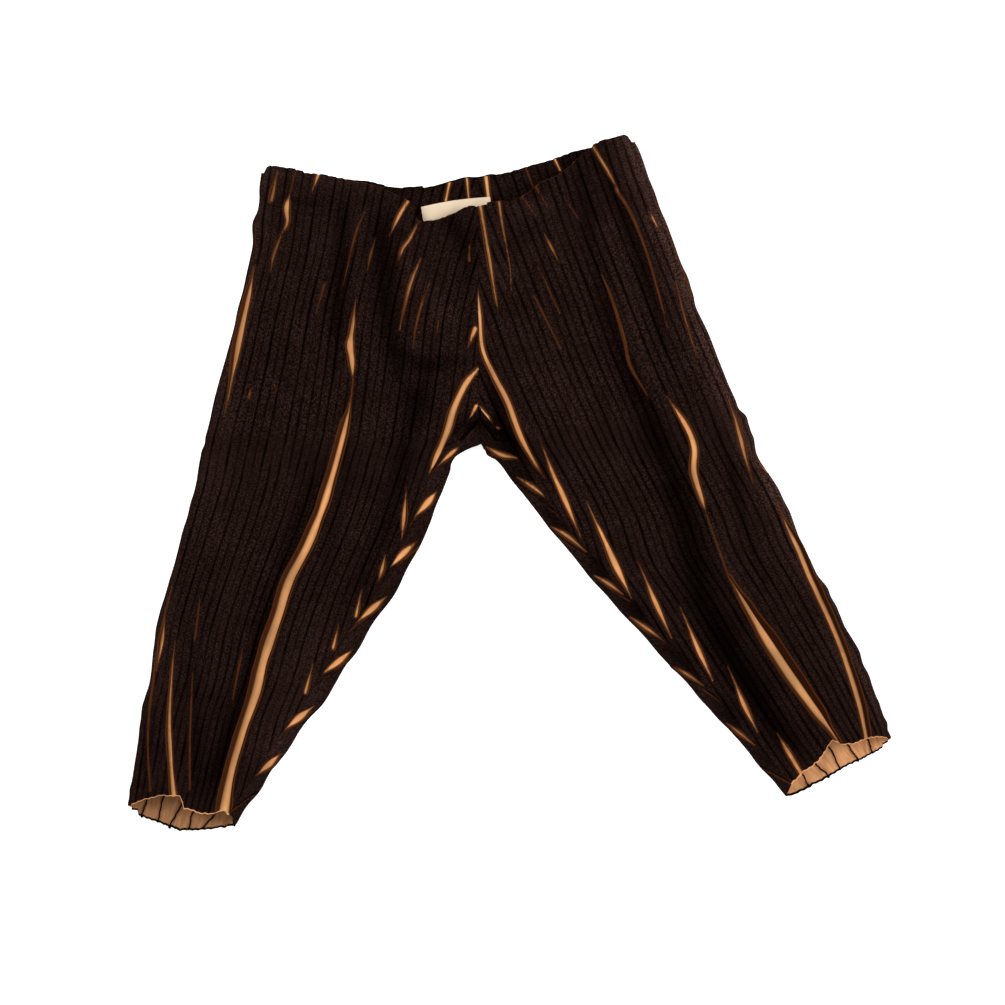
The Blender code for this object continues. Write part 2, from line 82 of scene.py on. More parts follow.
CROTCH = 5
HEM = 15
INSEAM_TOP = 4.43
STATIONS = "outer_x outer_y inner_x inner_y fold pitch wrap".split()
LEFT_STATIONS = [
    (-259, 330, -33, 322, 131, 20.5, 0),
    (-265, 289, -33, 274, 128, 19.4, 0),
    (-269, 247, -33, 225, 123, 18.3, 0),
    (-282, 192, -33, 169, 123, 18.2, 0),
    (-299, 124, -32, 106, 132, 18.2, 0),
    (-319, 49, -30, 41, 142, 18.0, 36),
    (-324, 24, -59, 23, 141, 17.7, 17),
    (-329, -2, -68, 1, 140, 17.5, 19),
    (-342, -46, -86, -46, 138, 17.3, 19),
    (-358, -102, -114, -104, 130, 17.3, 19),
    (-371, -153, -150, -159, 124, 17.3, 20),
    (-377, -203, -182, -211, 116, 16.8, 20),
    (-386, -241, -209, -248, 111, 16.3, 19),
    (-391, -279, -240, -289, 106, 15.8, 16),
    (-396, -312, -263, -323, 102, 14.7, 14),
    (-400, -340, -285, -354, 97, 13.7, 12),
]
RIGHT_STATIONS = [
    (128, 363, -33, 322, 80, 18.4, 0),
    (142, 324, -33, 274, 81, 17.8, 0),
    (158, 284, -33, 225, 83, 17.3, 0),
    (183, 221, -33, 169, 84, 17.3, 0),
    (206, 162, -32, 106, 85, 17.3, 0),
    (238, 87, -30, 41, 86, 17.3, 25),
    (248, 59, -19, 27, 86, 17.3, 25),
    (260, 32, -7, 13, 87, 17.3, 23),
    (290, -25, 33, -39, 89, 17.3, 21),
    (308, -67, 76, -90, 90, 17.3, 20),
    (332, -111, 109, -128, 88, 17.3, 19),
    (349, -144, 148, -169, 84, 16.8, 18),
    (369, -183, 190, -215, 78, 16.3, 16),
    (384, -221, 225, -256, 69, 15.8, 15),
    (393, -245, 260, -296, 60, 15.2, 14),
    (400, -269, 290, -328, 50, 14.7, 12),
]
BRAID_STATIONS = [4.6, 5.6, 7.2, 8.3, 9.25, 10.3, 11.55, 12.85, 14.0, 15.2]
# How far the waist's edges lie below the first station, and the hem's edges below the last one, by share of
# the way from the side to the centre line or the inner edge
WAIST_EDGE = "share front back".split()
LEFT_WAIST = [
    (0.00, 5, 5), (0.012, 0, 0), (0.03, -3.4, -3.4), (0.06, -3.4, -3.4), (0.13, 0, -0.5), (0.31, 6, 5),
    (0.50, 13, 9), (0.59, 18, 13), (0.68, 26, 14), (0.74, 35, 13), (0.78, 50, 12), (0.87, 48, 6),
    (0.94, 41, 1), (1.00, 32, 0),
]
RIGHT_WAIST = [
    (0.00, 6, 6), (0.012, 1, 1), (0.03, -3, -3), (0.05, -5, -5), (0.24, -2, -2), (0.34, 6, -1), (0.42, 14, 0),
    (0.52, 20, 1), (0.64, 23, 2), (0.72, 30, 3), (0.77, 33, 3), (0.86, 35, 2), (1.00, 32, 0),
]
LEFT_HEM = [
    (0.00, 0, 4), (0.03, -2, 8), (0.06, -5, 8), (0.16, -11, 11), (0.28, -17, 14), (0.44, -19, 19),
    (0.50, -6, 20.5), (0.65, -2, 18.5), (0.75, -3, 16.5), (0.84, -9, 13.5), (0.94, -3, 11), (1.00, 8.5, 8.5),
]
RIGHT_HEM = [
    (0.00, 0, 3), (0.06, -6, 6), (0.15, -12, 6), (0.29, -15, 6), (0.365, -20, 5), (0.395, -28, 5),
    (0.43, -27, 5), (0.50, -22, 5), (0.60, -16, 6), (0.78, -13, 6), (0.90, -8, 6), (0.97, -2, 5),
    (1.00, 0, 2),
]
WAIST_FADE = 2.0
HEM_FADE = 2.0
# First and last station, the pleat line that a fold follows, its half width and its height
LONG_FOLDS = {
    "left": {
        "outer ridge": (8, 16, 3.4, 13, 5),
        "valley": (7.5, 16, 5.4, 12, -7),
        "inner ridge": (7, 16, 8.2, 10, 5),
    },
    "right": {
        "valley": (2, 16, 5.8, 12, -7),
        "ridge": (2, 16, 3.7, 13, 6),
    },
}
LONG_FOLD_FADE = 3.0
# Start, middle and end of a fold, its half width and its height
SHORT_FOLDS = {
    "left inseam hollow": ((-99, 13), (-110, -39), (-131, -97), 12, -4),
    "right leg swell": ((53, 55), (137, -81), (221, -218), 22, 4),
    "front bulge": ((-77, 263), (-77, 202), (-77, 137), 30, 6),
    "bulge foot": ((-110, 116), (-73, 112), (-36, 122), 10, -4),
    "bulge side hollow": ((-121, 270), (-127, 213), (-130, 155), 10, -5),
    "hip hollow": ((-159, 255), (-167, 202), (-170, 144), 10, -4),
    "waist sag": ((-99, 291), (-66, 274), (-33, 286), 14, -4),
}
FOLD_MARGIN = 12.0
FOLD_POINTS = 13
FOLD_ENDS = 0.1
# Bends between those folds. A row is a point that the bend runs through, with its half width and height
# there, and its shade: how far painted shade darkens the cloth there, or, below zero, painted light lightens
# it.
BEND_POINT = "x y half_width height shade".split()
BENDS = {
    "left hip": [(-173, 297, 9, -2, 0.5), (-177, 234, 10, -3, 0.65), (-180, 171, 10, -3, 0.6),
        (-183, 108, 8, -1, 0.3)],
    "hip rib": [(-159, 260, 5, 1.5, -0.25), (-161, 192, 5, 1, -0.2)],
    "beside the bulge": [(-131, 291, 14, -3, 0.5), (-133, 244, 15, -5, 0.68), (-131, 192, 13, -5, 0.68),
        (-123, 139, 12, -4, 0.6), (-115, 102, 10, -2, 0.45)],
    "under the bulge": [(-120, 137, 9, -3, 0.5), (-89, 122, 10, -4, 0.62), (-52, 127, 9, -2, 0.5)],
    "below the bulge": [(-115, 85, 20, -1, 0.3), (-78, 92, 20, -1, 0.3)],
    "bulge crest": [(-123, 263, 9, 1, -0.3), (-110, 232, 10, 2, -0.4), (-83, 194, 12, 3, -0.45),
        (-65, 165, 10, 2, -0.35)],
    "over the bulge": [(-68, 281, 11, -2, 0.5), (-50, 260, 12, -3, 0.62), (-41, 228, 10, -3, 0.5),
        (-50, 192, 8, -1, 0.3)],
    "left thigh": [(-89, 108, 12, -2, 0.5), (-102, 66, 13, -3, 0.55), (-117, 3, 12, -4, 0.55),
        (-131, -50, 14, -3, 0.5), (-167, -123, 12, -1, 0.3)],
    "right of the left strip": [(-165, 34, 8, -1, 0.3), (-183, -39, 8, -1, 0.3), (-194, -102, 7, -1, 0.2)],
    "centre ridge": [(-13, 270, 8, 2, -0.35), (-10, 207, 8, 1.5, -0.3)],
    "centre line": [(-33, 213, 6, 1, -0.3), (-31, 144, 6, 1, -0.3)],
    "right of centre": [(-24, 129, 8, -2, 0.6), (-10, 66, 9, -3, 0.8), (11, 29, 8, -2, 0.6)],
    "crotch": [(-60, 55, 10, -1, 0.4), (-36, 60, 12, -2, 0.65), (-10, 51, 12, -2, 0.75),
        (27, 15, 12, -1, 0.5)],
    "right valley": [(71, 349, 8, -1, 0.35), (79, 297, 9, -2, 0.45), (87, 244, 9, -2, 0.4),
        (98, 192, 10, -3, 0.5), (121, 123, 12, -3, 0.6), (150, 60, 13, -4, 0.65), (171, 3, 15, -4, 0.7),
        (187, -60, 18, -5, 0.72), (202, -123, 23, -6, 0.78), (229, -176, 22, -6, 0.84),
        (268, -239, 18, -6, 0.84), (300, -286, 14, -4, 0.7)],
    "right ridge": [(200, -24, 7, 2, -0.2), (223, -81, 8, 2, -0.25), (258, -144, 9, 2, -0.25),
        (295, -202, 8, 2, -0.2), (328, -255, 7, 1, -0.2)],
    "right rib": [(100, 281, 7, 1, -0.3), (118, 202, 7, 2, -0.35), (137, 139, 8, 2, -0.3),
        (153, 87, 8, 2, -0.3), (184, 24, 7, 1, -0.25)],
    "right outer valley top": [(87, 349, 7, -1, 0.4), (111, 302, 8, -2, 0.55), (134, 244, 9, -3, 0.6),
        (150, 192, 8, -2, 0.5), (163, 139, 6, -1, 0.35)],
    "right outer rib": [(153, 232, 6, 1, -0.2), (171, 171, 6, 1, -0.25), (190, 118, 6, 1, -0.2)],
    "right outer valley": [(214, 66, 6, -1, 0.3), (232, 13, 6, -2, 0.45), (244, -39, 6, -2, 0.45),
        (268, -113, 5, -1, 0.3), (297, -165, 5, -1, 0.3)],
    "right thigh": [(11, 150, 24, 1, -0.1), (53, 76, 28, 2, -0.2), (95, 24, 24, 1, -0.15)],
    "left valley": [(-197, 13, 10, -2, 0.4), (-218, -31, 12, -3, 0.55), (-236, -87, 11, -4, 0.55),
        (-256, -144, 10, -4, 0.62), (-275, -207, 10, -4, 0.68), (-293, -265, 12, -4, 0.72),
        (-312, -323, 14, -3, 0.72)],
    "left valley foot": [(-333, -165, 8, -1, 0.2), (-327, -249, 9, -2, 0.4), (-330, -323, 9, -2, 0.5)],
    "left shin ridge": [(-291, -81, 9, 2, -0.25), (-296, -144, 9, 2, -0.3), (-309, -218, 8, 2, -0.25)],
    "left side": [(-312, 102, 8, -1, 0.3), (-325, 34, 8, -1, 0.35), (-335, -39, 8, -1, 0.3),
        (-346, -123, 7, -1, 0.2)],
    "left side ridge": [(-291, 87, 8, 1, -0.25), (-302, -18, 8, 1, -0.25), (-306, -81, 8, 1, -0.2)],
    "left shin": [(-377, -228, 8, -1, 0.4), (-382, -312, 9, -1, 0.45)],
    "shin ridge": [(-356, -207, 5, 1, -0.25), (-354, -291, 5, 1, -0.25)],
    "right shin": [(331, -150, 14, 0, -0.16), (368, -230, 12, 0, -0.2)],
    "inner shin": [(-201, -144, 28, 1, -0.3), (-230, -228, 26, 1, -0.45), (-260, -302, 18, 1, -0.4)],
    "hip": [(-220, 234, 20, 0, -0.12), (-225, 155, 20, 0, -0.12)],
    "left waist edge": [(-246, 324, 6, 1, -0.35), (-188, 316, 6, 1, -0.35), (-115, 304, 5, 1, -0.3)],
    "left casing": [(-264, 299, 6, -1, 0.4), (-188, 291, 6, -1, 0.4)],
    "right waist edge": [(-15, 288, 9, 1, -0.3), (37, 290, 9, 1, -0.3)],
    "plait hollow 1": [(-6, 14, 7, -0.5, 0.45), (12, 0, 6, -0.5, 0.3)],
    "plait hollow 2": [(34, -22, 7, -0.5, 0.55), (56, -46, 6, -0.5, 0.4)],
    "plait hollow 3": [(82, -74, 7, -0.5, 0.6), (104, -100, 6, -0.5, 0.45)],
    "plait hollow 4": [(124, -120, 7, -0.5, 0.6), (146, -146, 6, -0.5, 0.4)],
    "plait hollow 5": [(170, -172, 7, -0.5, 0.55), (192, -194, 6, -0.5, 0.4)],
    "plait hollow 6": [(220, -226, 7, -0.5, 0.55), (242, -250, 6, -0.5, 0.4)],
}
BEND_REACH = 40.0
BEND_STEPS = 10  # for each point of a bend
BEND_ENDS = 0.3  # a bend's strength at its ends
print(len(LEFT_STATIONS), "stations to a leg,", len(BENDS), "bends")

# %% [markdown]
# ## One surface for each leg
# The functions below turn a place on the cloth, given as a station down the leg and a distance from its
# edge, into a point in space: flat underneath, round at the edges, and gently crowned on top with the
# folds added. Every panel, stitch and thread asks the same functions where it lies.

# %% The laid surface


def smooth_column(values, r, corner):
    """Read a table's column at any station, smoothly, with a corner left at one station."""
    r = np.asarray(r, float)
    read = np.empty_like(r)
    for first, last in ((0, corner), (corner, len(values) - 1)):
        part = np.array(values[first:last + 1], float)
        slope = np.gradient(part)
        here = r <= last if first == 0 else r > first
        beyond = np.minimum(r[here] - first, 0) + np.maximum(r[here] - last, 0)
        at = r[here] - first - beyond
        k = np.clip(at.astype(int), 0, len(part) - 2)
        t = at - k
        read[here] = ((2 * t**3 - 3 * t**2 + 1) * part[k] + (t**3 - 2 * t**2 + t) * slope[k]
                      + (3 * t**2 - 2 * t**3) * part[k + 1] + (t**3 - t**2) * slope[k + 1]
                      + beyond * slope[np.where(beyond < 0, 0, k + 1)])
    return read


def smooth_step(low, high, x):
    t = np.clip((x - low) / (high - low), 0, 1)
    return t * t * (3 - 2 * t)


def near_line(x, y, line_x, line_y, reach):
    """Which points lie in the line's own box, grown by its reach."""
    return ((x > line_x.min() - reach) & (x < line_x.max() + reach)
            & (y > line_y.min() - reach) & (y < line_y.max() + reach))


def bend_fields(x, y):
    """Height of the bends at each plan point, and the factor of painted shade or light there, 1 where it is
    plain.
    """
    height, light = np.zeros_like(x), np.ones_like(x)
    for rows in BENDS.values():
        t = np.linspace(0, len(rows) - 1, BEND_STEPS * len(rows))
        bend = {key: np.interp(t, range(len(rows)), column) for key, column in zip(BEND_POINT, zip(*rows))}
        ends = np.sin(math.pi / 2 * np.minimum(1, np.minimum(t, t[-1] - t) * 2 + BEND_ENDS))
        near = near_line(x, y, bend["x"], bend["y"], BEND_REACH)
        gap = np.hypot(x[near][:, None] - bend["x"], y[near][:, None] - bend["y"]) / bend["half_width"]
        closest = gap.argmin(-1)
        strength = np.exp(-gap.min(-1)**2) * ends[closest]
        height[near] += bend["height"][closest] * strength
        light[near] *= 1 - bend["shade"][closest] * strength
    return height, light


class Leg:
    """One half of the garment, from the side edge to the centre line or the leg's inner edge."""

    def __init__(self, name, stations, waist, hem, first_pleat, fold_pleat, turn):
        self.name = name
        self.columns = {key: [row[k] for row in stations] for k, key in enumerate(STATIONS)}
        self.waist = {key: [row[k] for row in waist] for k, key in enumerate(WAIST_EDGE)}
        self.hem = {key: [row[k] for row in hem] for k, key in enumerate(WAIST_EDGE)}
        self.first_pleat = first_pleat
        self.fold_pleat = fold_pleat
        self.turn = turn

    def read(self, column, r):
        return smooth_column(self.columns[column], r, CROTCH)

    def width(self, r):
        return np.hypot(self.read("inner_x", r) - self.read("outer_x", r),
                        self.read("inner_y", r) - self.read("outer_y", r))

    def plan(self, r, across):
        share = across / self.width(r)
        x = self.read("outer_x", r) * (1 - share) + self.read("inner_x", r) * share
        y = self.read("outer_y", r) * (1 - share) + self.read("inner_y", r) * share
        return x, y

    def wrap(self, r):
        """How far the back panel comes round on to the front, 0 where the centre seam is."""
        start = np.clip((r - INSEAM_TOP) / (CROTCH - INSEAM_TOP), 0, 1) * self.columns["wrap"][CROTCH]
        return np.where(r < CROTCH, start, self.read("wrap", r))

    def pleat_place(self, r, pleat):
        """Distance from the side edge of a pleat line, whose count starts at that edge."""
        fold, pitch = self.read("fold", r), self.read("pitch", r)
        return np.where(pleat < self.fold_pleat, pleat * fold / self.fold_pleat,
                        fold + (pleat - self.fold_pleat) * pitch)

    def pleat_at(self, r, across):
        fold, pitch = self.read("fold", r), self.read("pitch", r)
        return np.where(across < fold, across / fold * self.fold_pleat,
                        self.fold_pleat + (across - fold) / pitch)

    def pleat_width(self, r, across):
        fold, pitch = self.read("fold", r), self.read("pitch", r)
        return np.where(across < fold, fold / self.fold_pleat, pitch)

    def step_length(self, one, other, share):
        one, other = (np.full_like(share, station, dtype=float) for station in (one, other))
        xa, ya = self.plan(one, share * self.width(one))
        xb, yb = self.plan(other, share * self.width(other))
        return np.hypot(xb - xa, yb - ya)

    def edge_shift(self, row, share, layer):
        """Stations by which a row near the waist or the hem moves to follow that edge."""
        waist = np.interp(share, self.waist["share"], self.waist[layer])
        hem = np.interp(share, self.hem["share"], self.hem[layer])
        at_waist = np.clip(1 - row / WAIST_FADE, 0, 1)
        at_hem = np.clip((row - HEM + HEM_FADE) / HEM_FADE, 0, 1)
        return (waist / self.step_length(0, 1, share) * at_waist
                + hem / self.step_length(HEM - 1, HEM, share) * at_hem)


LEFT = Leg("left", LEFT_STATIONS, LEFT_WAIST, LEFT_HEM, first_pleat=0.5, fold_pleat=7.5, turn=1)
RIGHT = Leg("right", RIGHT_STATIONS, RIGHT_WAIST, RIGHT_HEM, first_pleat=0.7, fold_pleat=4.7, turn=-1)


def edge_radius(r):
    t = np.clip(r / RADIUS_STATIONS, 0, 1)
    return EDGE_RADIUS_WAIST + (EDGE_RADIUS_LEG - EDGE_RADIUS_WAIST) * t * t * (3 - 2 * t)


def short_fold_height(x, y):
    """Sum of the short folds: each is a ridge or trough along a bent line, faded at both ends."""
    height = np.zeros_like(x)
    for start, middle, end, half_width, rise in SHORT_FOLDS.values():
        t = np.linspace(0, 1, FOLD_POINTS)[:, None]
        bend = 2 * np.array(middle) - (np.array(start) + np.array(end)) / 2
        line = (1 - t)**2 * start + 2 * t * (1 - t) * bend + t**2 * end
        gap = np.hypot(x[..., None] - line[:, 0], y[..., None] - line[:, 1])
        along = np.sin(math.pi * (FOLD_ENDS + (1 - 2 * FOLD_ENDS) * t[gap.argmin(-1), 0]))
        height += rise * along * np.exp(-(gap.min(-1) / half_width)**2)
    return height


def long_fold_height(leg, r, across):
    """Sum of the folds that follow this leg's pleats down to its hem."""
    height, pleat = np.zeros_like(r), leg.pleat_at(r, across)
    for first, last, line, half_width, rise in LONG_FOLDS[leg.name].values():
        gap = (pleat - line) * leg.read("pitch", r)
        fade = np.clip((r - first) / LONG_FOLD_FADE, 0, 1) * (r < last)
        height += rise * fade * fade * (3 - 2 * fade) * np.exp(-(gap / half_width)**2)
    return height


def top_height(leg, r, across):
    """Height of the upper layer's outer face above the floor."""
    x, y = leg.plan(r, across)
    radius = edge_radius(r)
    crotch_x, crotch_y = leg.columns["inner_x"][CROTCH], leg.columns["inner_y"][CROTCH]
    inner = np.where(r < CROTCH, np.hypot(x - crotch_x, y - crotch_y), leg.width(r) - across)
    inset = np.minimum(across, inner)
    full = np.clip((inset - radius) / FOLD_MARGIN, 0, 1)
    share = np.clip(across / leg.width(r), 0, 1)
    waist_drop = np.interp(share, leg.waist["share"], leg.waist["front"])
    below_edge = r * leg.step_length(0, 1, share) - waist_drop
    pinch = CASING_PINCH * np.exp(-((below_edge - CASING_DEPTH) / CASING_WIDTH)**2)
    crown = CROWN * (1 - np.exp(-np.maximum(inset - radius, 0) / CROWN_REACH))
    folds = short_fold_height(x, y) + long_fold_height(leg, r, across) + bend_fields(x, y)[0]
    round_part = np.sqrt(np.maximum(radius**2 - (radius - np.minimum(inset, radius))**2, 0))
    return radius + round_part + crown + full * (folds - pinch)


def section_point(leg, r, s, inner=False):
    """Outer face of the cloth at station r, s along its section from the side edge or the inner edge."""
    radius = edge_radius(r)
    floor = radius * (1 - math.pi)
    angle = np.clip((s - radius) / radius + math.pi / 2, -math.pi / 2, math.pi / 2)
    inset = np.where(s >= radius, s, np.where(s >= floor, radius * (1 - np.cos(angle)), radius + floor - s))
    across = leg.width(r) - inset if inner else inset
    x, y = leg.plan(r, across)
    z = np.where(s >= radius, top_height(leg, r, across), radius * (1 + np.sin(angle)))
    return np.stack([x, y, z], -1)


def section_normal(leg, r, s, inner=False):
    """Unit normal out of the cloth's outer face."""
    small_r, small_s = 0.01, 0.3
    before = np.where((r >= CROTCH) & (r - small_r < CROTCH), r, r - small_r)
    down = section_point(leg, r + small_r, s, inner) - section_point(leg, before, s, inner)
    over = section_point(leg, r, s + small_s, inner) - section_point(leg, r, s - small_s, inner)
    normal = np.cross(down, over) * (leg.turn * (-1 if inner else 1))
    return normal / np.linalg.norm(normal, axis=-1, keepdims=True)


def angle_place(r, degrees):
    """The s of an angle on a rounded edge: 90 is its top, 0 its outermost line, -90 the floor."""
    radius = edge_radius(r)
    return radius + radius * np.radians(degrees - 90)


def plan_place(r, across):
    """The s of a point on top at a plan distance from the edge."""
    radius = edge_radius(r)
    return np.where(across >= radius, across, radius - radius * np.arcsin(np.clip(1 - across / radius, 0, 1)))


def floor_place(r, across):
    radius = edge_radius(r)
    return radius + radius * (1 - math.pi) - across


print("surface ready for", LEFT.name, "and", RIGHT.name)

# %% [markdown]
# ## Where the pleats open
# Most pleats lie closed and show as fine dark lines. Some are pulled open, at the waist, over the thigh,
# beside the long folds and all down the inseam, where the back panel's pleats come round the edge slantwise
# like a braid. Each row of the tables is one opening: the points it runs through with its width at each of
# them, the width of its rim on the side towards -X and on the other, and its tone, from 1 for bright tan
# through 0.6 for dull tan and 0 for burnt orange to -1 for a plain dark seam.

